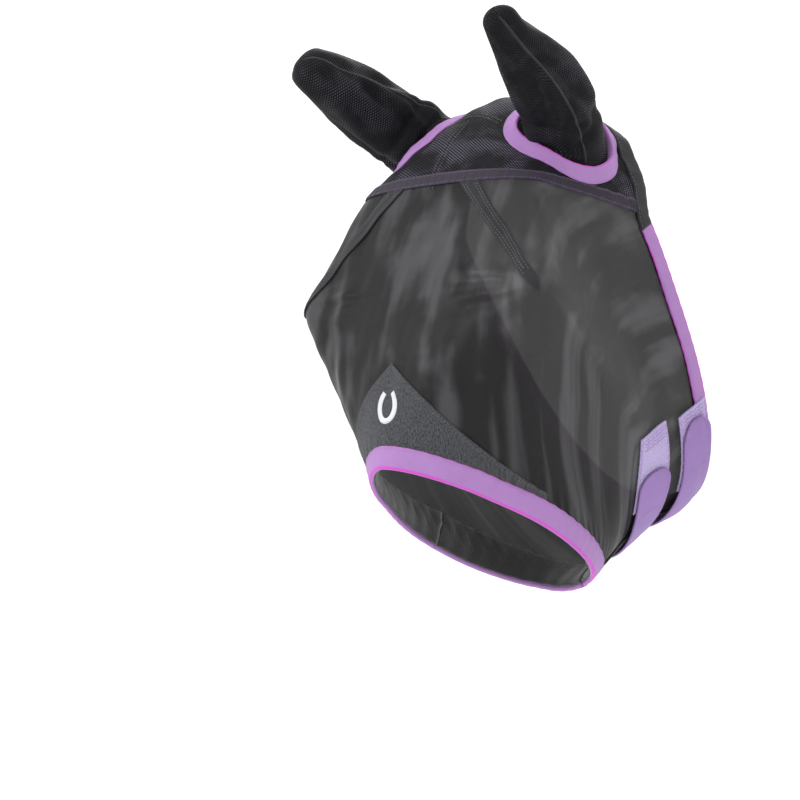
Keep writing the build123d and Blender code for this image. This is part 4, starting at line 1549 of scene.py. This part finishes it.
class EarsOperator(bpy.types.Operator):
    """Sew the two ear covers, each of a front and a back panel joined by seams"""
    bl_idname = "fly_mask.ears"
    bl_label = "Ear covers"

    ROWS, COLUMNS = 96, 88

    def execute(self, context):
        sizes, finish = settings()
        for name, side in (("near", 1), ("off", -1)):
            ear = Ear(name, side)
            progress, turns, points = ear.grid(self.ROWS, self.COLUMNS, sizes)
            points = self.sewn_foot(ear, progress, turns, points)
            quarter = self.COLUMNS // 4
            panels = {"front": list(range(-quarter, quarter + 1)),
                      "back": list(range(quarter, 3 * quarter + 1))}
            for panel, columns in panels.items():
                made = self.panel(f"{name}_ear_{panel}_cloth", finish["ear_cloth"], points, columns)
                bend_with_ear(made, name, side, "ear_cloth", f"{name}_ear_{panel}_panel")
            self.seams(name, side, finish, sizes, points, quarter)
        return {"FINISHED"}

    def sewn_foot(self, ear, progress, turns, points):
        """Flares the foot of a cover under its ring, where it is sewn in."""
        skin = hood_skin()
        foot = skin.drop(np.array([
            ear.centre + (RING_INNER + 2.6) * (-ear.along * math.cos(t)
                + np.cross(ear.normal, ear.along) * ear.side * math.sin(t)) for t in turns]), ear.normal)
        foot = foot - ear.normal * 1.6
        lip = skin.drop(np.array([
            ear.centre + (RING_INNER - 1.2) * (-ear.along * math.cos(t)
                + np.cross(ear.normal, ear.along) * ear.side * math.sin(t)) for t in turns]), ear.normal)
        lip = lip + ear.normal * 4.5
        shaped = points.copy()
        reach = 0.19
        for i, p in enumerate(progress):
            if p < reach:
                share = p / reach
                start = foot * (1 - smoothstep(share * 2.2)) + lip * smoothstep(share * 2.2)
                over = smoothstep((share - 0.3) / 0.7)
                shaped[i] = start * (1 - over) + points[i] * over
        return shaped

    def panel(self, name, finish, points, columns):
        grid = points[:, columns]
        rows, count = grid.shape[:2]
        middle = count // 2
        across = np.zeros((rows, count))
        steps = np.linalg.norm(np.diff(grid, axis=1), axis=2)
        across[:, 1:] = np.cumsum(steps, axis=1)
        across -= across[:, middle:middle + 1]
        along = np.concatenate(([0], np.cumsum(np.linalg.norm(np.diff(grid[:, middle], axis=0), axis=1))))
        faces, corner_uv = [], []
        for i in range(rows - 1):
            for j in range(count - 1):
                a = i * count + j
                faces.append((a, a + 1, a + count + 1, a + count))
                corner_uv += [(across[i, j], along[i]), (across[i, j + 1], along[i]),
                              (across[i + 1, j + 1], along[i + 1]), (across[i + 1, j], along[i + 1])]
        made = cloth_object(name, grid.reshape(-1, 3), faces, corner_uv, finish, closed=False)
        thick = made.modifiers.new("thickness", "SOLIDIFY")
        thick.thickness, thick.offset = 0.7 * MM, 0
        apply_modifiers(made)
        return made

    def seams(self, name, side, finish, sizes, points, quarter):
        """A raised seam where the panels meet, along both sides of the cover."""
        pieces = []
        for column in (quarter, 3 * quarter):
            line = points[6:-3, column]
            pieces.append(line)
        made = piping(f"{name}_ear_seams", finish["seam_tape"], pieces, points)
        bend_with_ear(made, name, side, "crown_cloth")


def piping(name, finish, lines, points):
    """A thin raised welt along each line."""
    circle = np.linspace(0, 2 * np.pi, 8, endpoint=False)
    centre = points.mean(axis=(0, 1))
    vertices, faces, corner_uv = [], [], []
    for line in lines:
        spots = resampled(line, 2.0)
        tangent = normalised(np.gradient(spots, axis=0))
        away = normalised(spots - centre)
        side = normalised(np.cross(tangent, away))
        up = np.cross(side, tangent)
        start, count = len(vertices), len(spots)
        for i, (spot, n, b) in enumerate(zip(spots, up, side)):
            size = 0.85 * min(1.0, 0.3 + i / 6, 0.3 + (count - 1 - i) / 6)
            vertices.extend(spot + size * (n * 1.1 * math.sin(c) + b * 1.5 * math.cos(c)) for c in circle)
        for i in range(count - 1):
            for k in range(8):
                after, a = (k + 1) % 8, start + i * 8
                faces.append((a + k, a + after, a + 8 + after, a + 8 + k))
                corner_uv += [(2.0 * i, k * 0.8), (2.0 * i, k * 0.8 + 0.8),
                              (2.0 * i + 2, k * 0.8 + 0.8), (2.0 * i + 2, k * 0.8)]
        for ring in (0, count - 1):
            faces.append([start + ring * 8 + k for k in range(8)])
            corner_uv += [(2.0 * ring, k * 0.8) for k in range(8)]
    return cloth_object(name, vertices, faces, corner_uv, finish)


def apply_modifiers(made):
    bpy.context.view_layer.update()
    graph = bpy.context.evaluated_depsgraph_get()
    mesh = bpy.data.meshes.new_from_object(made.evaluated_get(graph))
    made.modifiers.clear()
    made.data = mesh


class StrapsOperator(bpy.types.Operator):
    """Sew the straps on the jaw flap, and their loop patches on the near cheek"""
    bl_idname = "fly_mask.straps"
    bl_label = "Straps"

    def execute(self, context):
        sizes, finish = settings()
        for which, base in STRAP_BASES.items():
            self.loop_patch(which, base, finish, sizes)
            self.anchor(which, base, finish, sizes)
            self.strap(which, base, finish, sizes)
        return {"FINISHED"}

    def loop_patch(self, which, base, finish, sizes):
        top = np.array(STRAP_TOPS[which])
        run = np.array((math.sin(STRAP_LEAN), -math.cos(STRAP_LEAN)))
        line = strap_line(which)
        line = part_of(line, lambda p: np.minimum(PATCH_LENGTH - (p[:, 1:3] - top) @ run, p[:, 0]))
        route = Route(line, step=1.6, rounds=2)
        half = STRAP_WIDTH / 2
        made = strip_piece(f"{which}_loop_patch_pile", finish["loop_pile"], route,
                           band(-half, half, base, base + LOOP_PATCH, every=2.0), pucker=0.1, period=7)
        settle(made, "hood", "loop_pile", f"{which}_loop_patch")
        rows = [route.shifted(w) for w in (-half + 1.8, half - 1.8)]
        rows += [self.crosswise(route, at, half - 2.5) for at in (2.0, 5.2, 8.4, 11.6)]
        sewn = stitches(f"{which}_loop_patch_stitches", finish["thread_purple"], rows, sizes,
                        [base + LOOP_PATCH] * 6, zigzag=0.55)
        settle(sewn, "hood", "loop_pile")

    def crosswise(self, route, at, half):
        i = int(np.searchsorted(route.along, at))
        share = np.linspace(-half, half, 24)[:, None]
        return hood_skin().onto(route.points[i] + route.inward[i] * share)

    def anchor(self, which, base, finish, sizes):
        line = strap_line(which)
        low, high = ANCHOR_X
        line = part_of(line, lambda p: np.minimum(high - p[:, 0], p[:, 0] - low))
        route = Route(line, rounds=2)
        half = STRAP_WIDTH / 2
        made = strip_piece(f"{which}_strap_anchor_web", finish["strap_webbing"], route,
                           band(-half, half, base, base + WEBBING, every=3.0))
        rows = [route.shifted(w) for w in (-half + 2, half - 2)]
        rows += [self.crosswise(route, at, half - 2) for at in (3, route.along[-1] - 18)]
        sewn = stitches(f"{which}_strap_anchor_stitches", finish["thread_purple"], rows, sizes,
                        [base + WEBBING] * 4)
        settle(made, "jaw_flap", "strap_webbing", f"{which}_strap_anchor")
        settle(sewn, "jaw_flap", "strap_webbing")

    def strap(self, which, base, finish, sizes):
        tip = STRAP_TIPS[which]
        pad = base + LOOP_PATCH + BODY_GAP
        web = pad + HOOK_PAD + 0.1
        half = STRAP_WIDTH / 2
        line = until(strap_line(which, drop=tip), STRAP_ROOT_X)
        route = Route(line, step=1.4, rounds=2)
        left = np.clip(half - route.along, 0, half)
        rounding = np.sqrt(np.clip(1 - (left / half) ** 2, 0.002, 1))
        made = strip_piece(f"{which}_strap_web", finish["strap_webbing"], route,
                           band(-half, half, web, web + WEBBING, every=3.0), narrowing=rounding)
        bend_with_strap(made, which, "strap_webbing", f"{which}_strap")
        inner = half - 2
        top = np.array(STRAP_TOPS[which])
        run = np.array((math.sin(STRAP_LEAN), -math.cos(STRAP_LEAN)))
        hooks = strap_line(which, drop=tip + 2)
        hooks = part_of(hooks, lambda p: np.minimum(tip + 44 - (p[:, 1:3] - top) @ run, p[:, 0]))
        below = Route(hooks, step=1.4, rounds=2)
        left = np.clip(inner - below.along, 0, inner)
        rounding = np.sqrt(np.clip(1 - (left / inner) ** 2, 0.002, 1))
        pad_made = strip_piece(f"{which}_hook_pad_face", finish["hook_pad"], below,
                               band(-inner, inner, pad, pad + HOOK_PAD, every=3.0), narrowing=rounding)
        bend_with_strap(pad_made, which, "hook_pad", f"{which}_hook_pad")
        edge = [route.shifted(side * (half - 2) * np.sqrt(np.clip(
            1 - (np.clip(half - route.along, 0, half) / half) ** 2, 0, 1))) for side in (-1, 1)]
        across = self.crosswise(route, 44, half - 3)
        sewn = stitches(f"{which}_strap_stitches", finish["thread_purple"], edge + [across], sizes,
                        [web + WEBBING] * 3)
        bend_with_strap(sewn, which, "strap_webbing")


class FlyMaskPanel(bpy.types.Panel):
    """The pieces of the fly mask, and the sizes and colours that they are made with"""
    bl_idname = "VIEW3D_PT_fly_mask"
    bl_label = "Fly mask"
    bl_space_type = "VIEW_3D"
    bl_region_type = "UI"
    bl_category = "Fly mask"

    def draw(self, context):
        for operator in OPERATORS:
            self.layout.operator(operator.bl_idname)
        for group in (context.scene.fly_mask_sizes, context.scene.fly_mask_colours):
            for name in group.__annotations__:
                self.layout.prop(group, name)


OPERATORS = (StageOperator, MeshOperator, CrownOperator, TapesOperator, PatchOperator, BindingsOperator,
             LiningOperator, RingsOperator, EarsOperator, StrapsOperator)
CLASSES = (FlyMaskSizes, FlyMaskColours, *OPERATORS, FlyMaskPanel)


def register():
    for each in CLASSES:
        bpy.utils.register_class(each)
    bpy.types.Scene.fly_mask_sizes = PointerProperty(type=FlyMaskSizes)
    bpy.types.Scene.fly_mask_colours = PointerProperty(type=FlyMaskColours)


def unregister():
    del bpy.types.Scene.fly_mask_colours
    del bpy.types.Scene.fly_mask_sizes
    for each in reversed(CLASSES):
        bpy.utils.unregister_class(each)


def main():
    register()
    make = bpy.ops.fly_mask
    for operator in OPERATORS:
        getattr(make, operator.bl_idname.split(".")[1])()


if __name__ == "__main__":
    main()
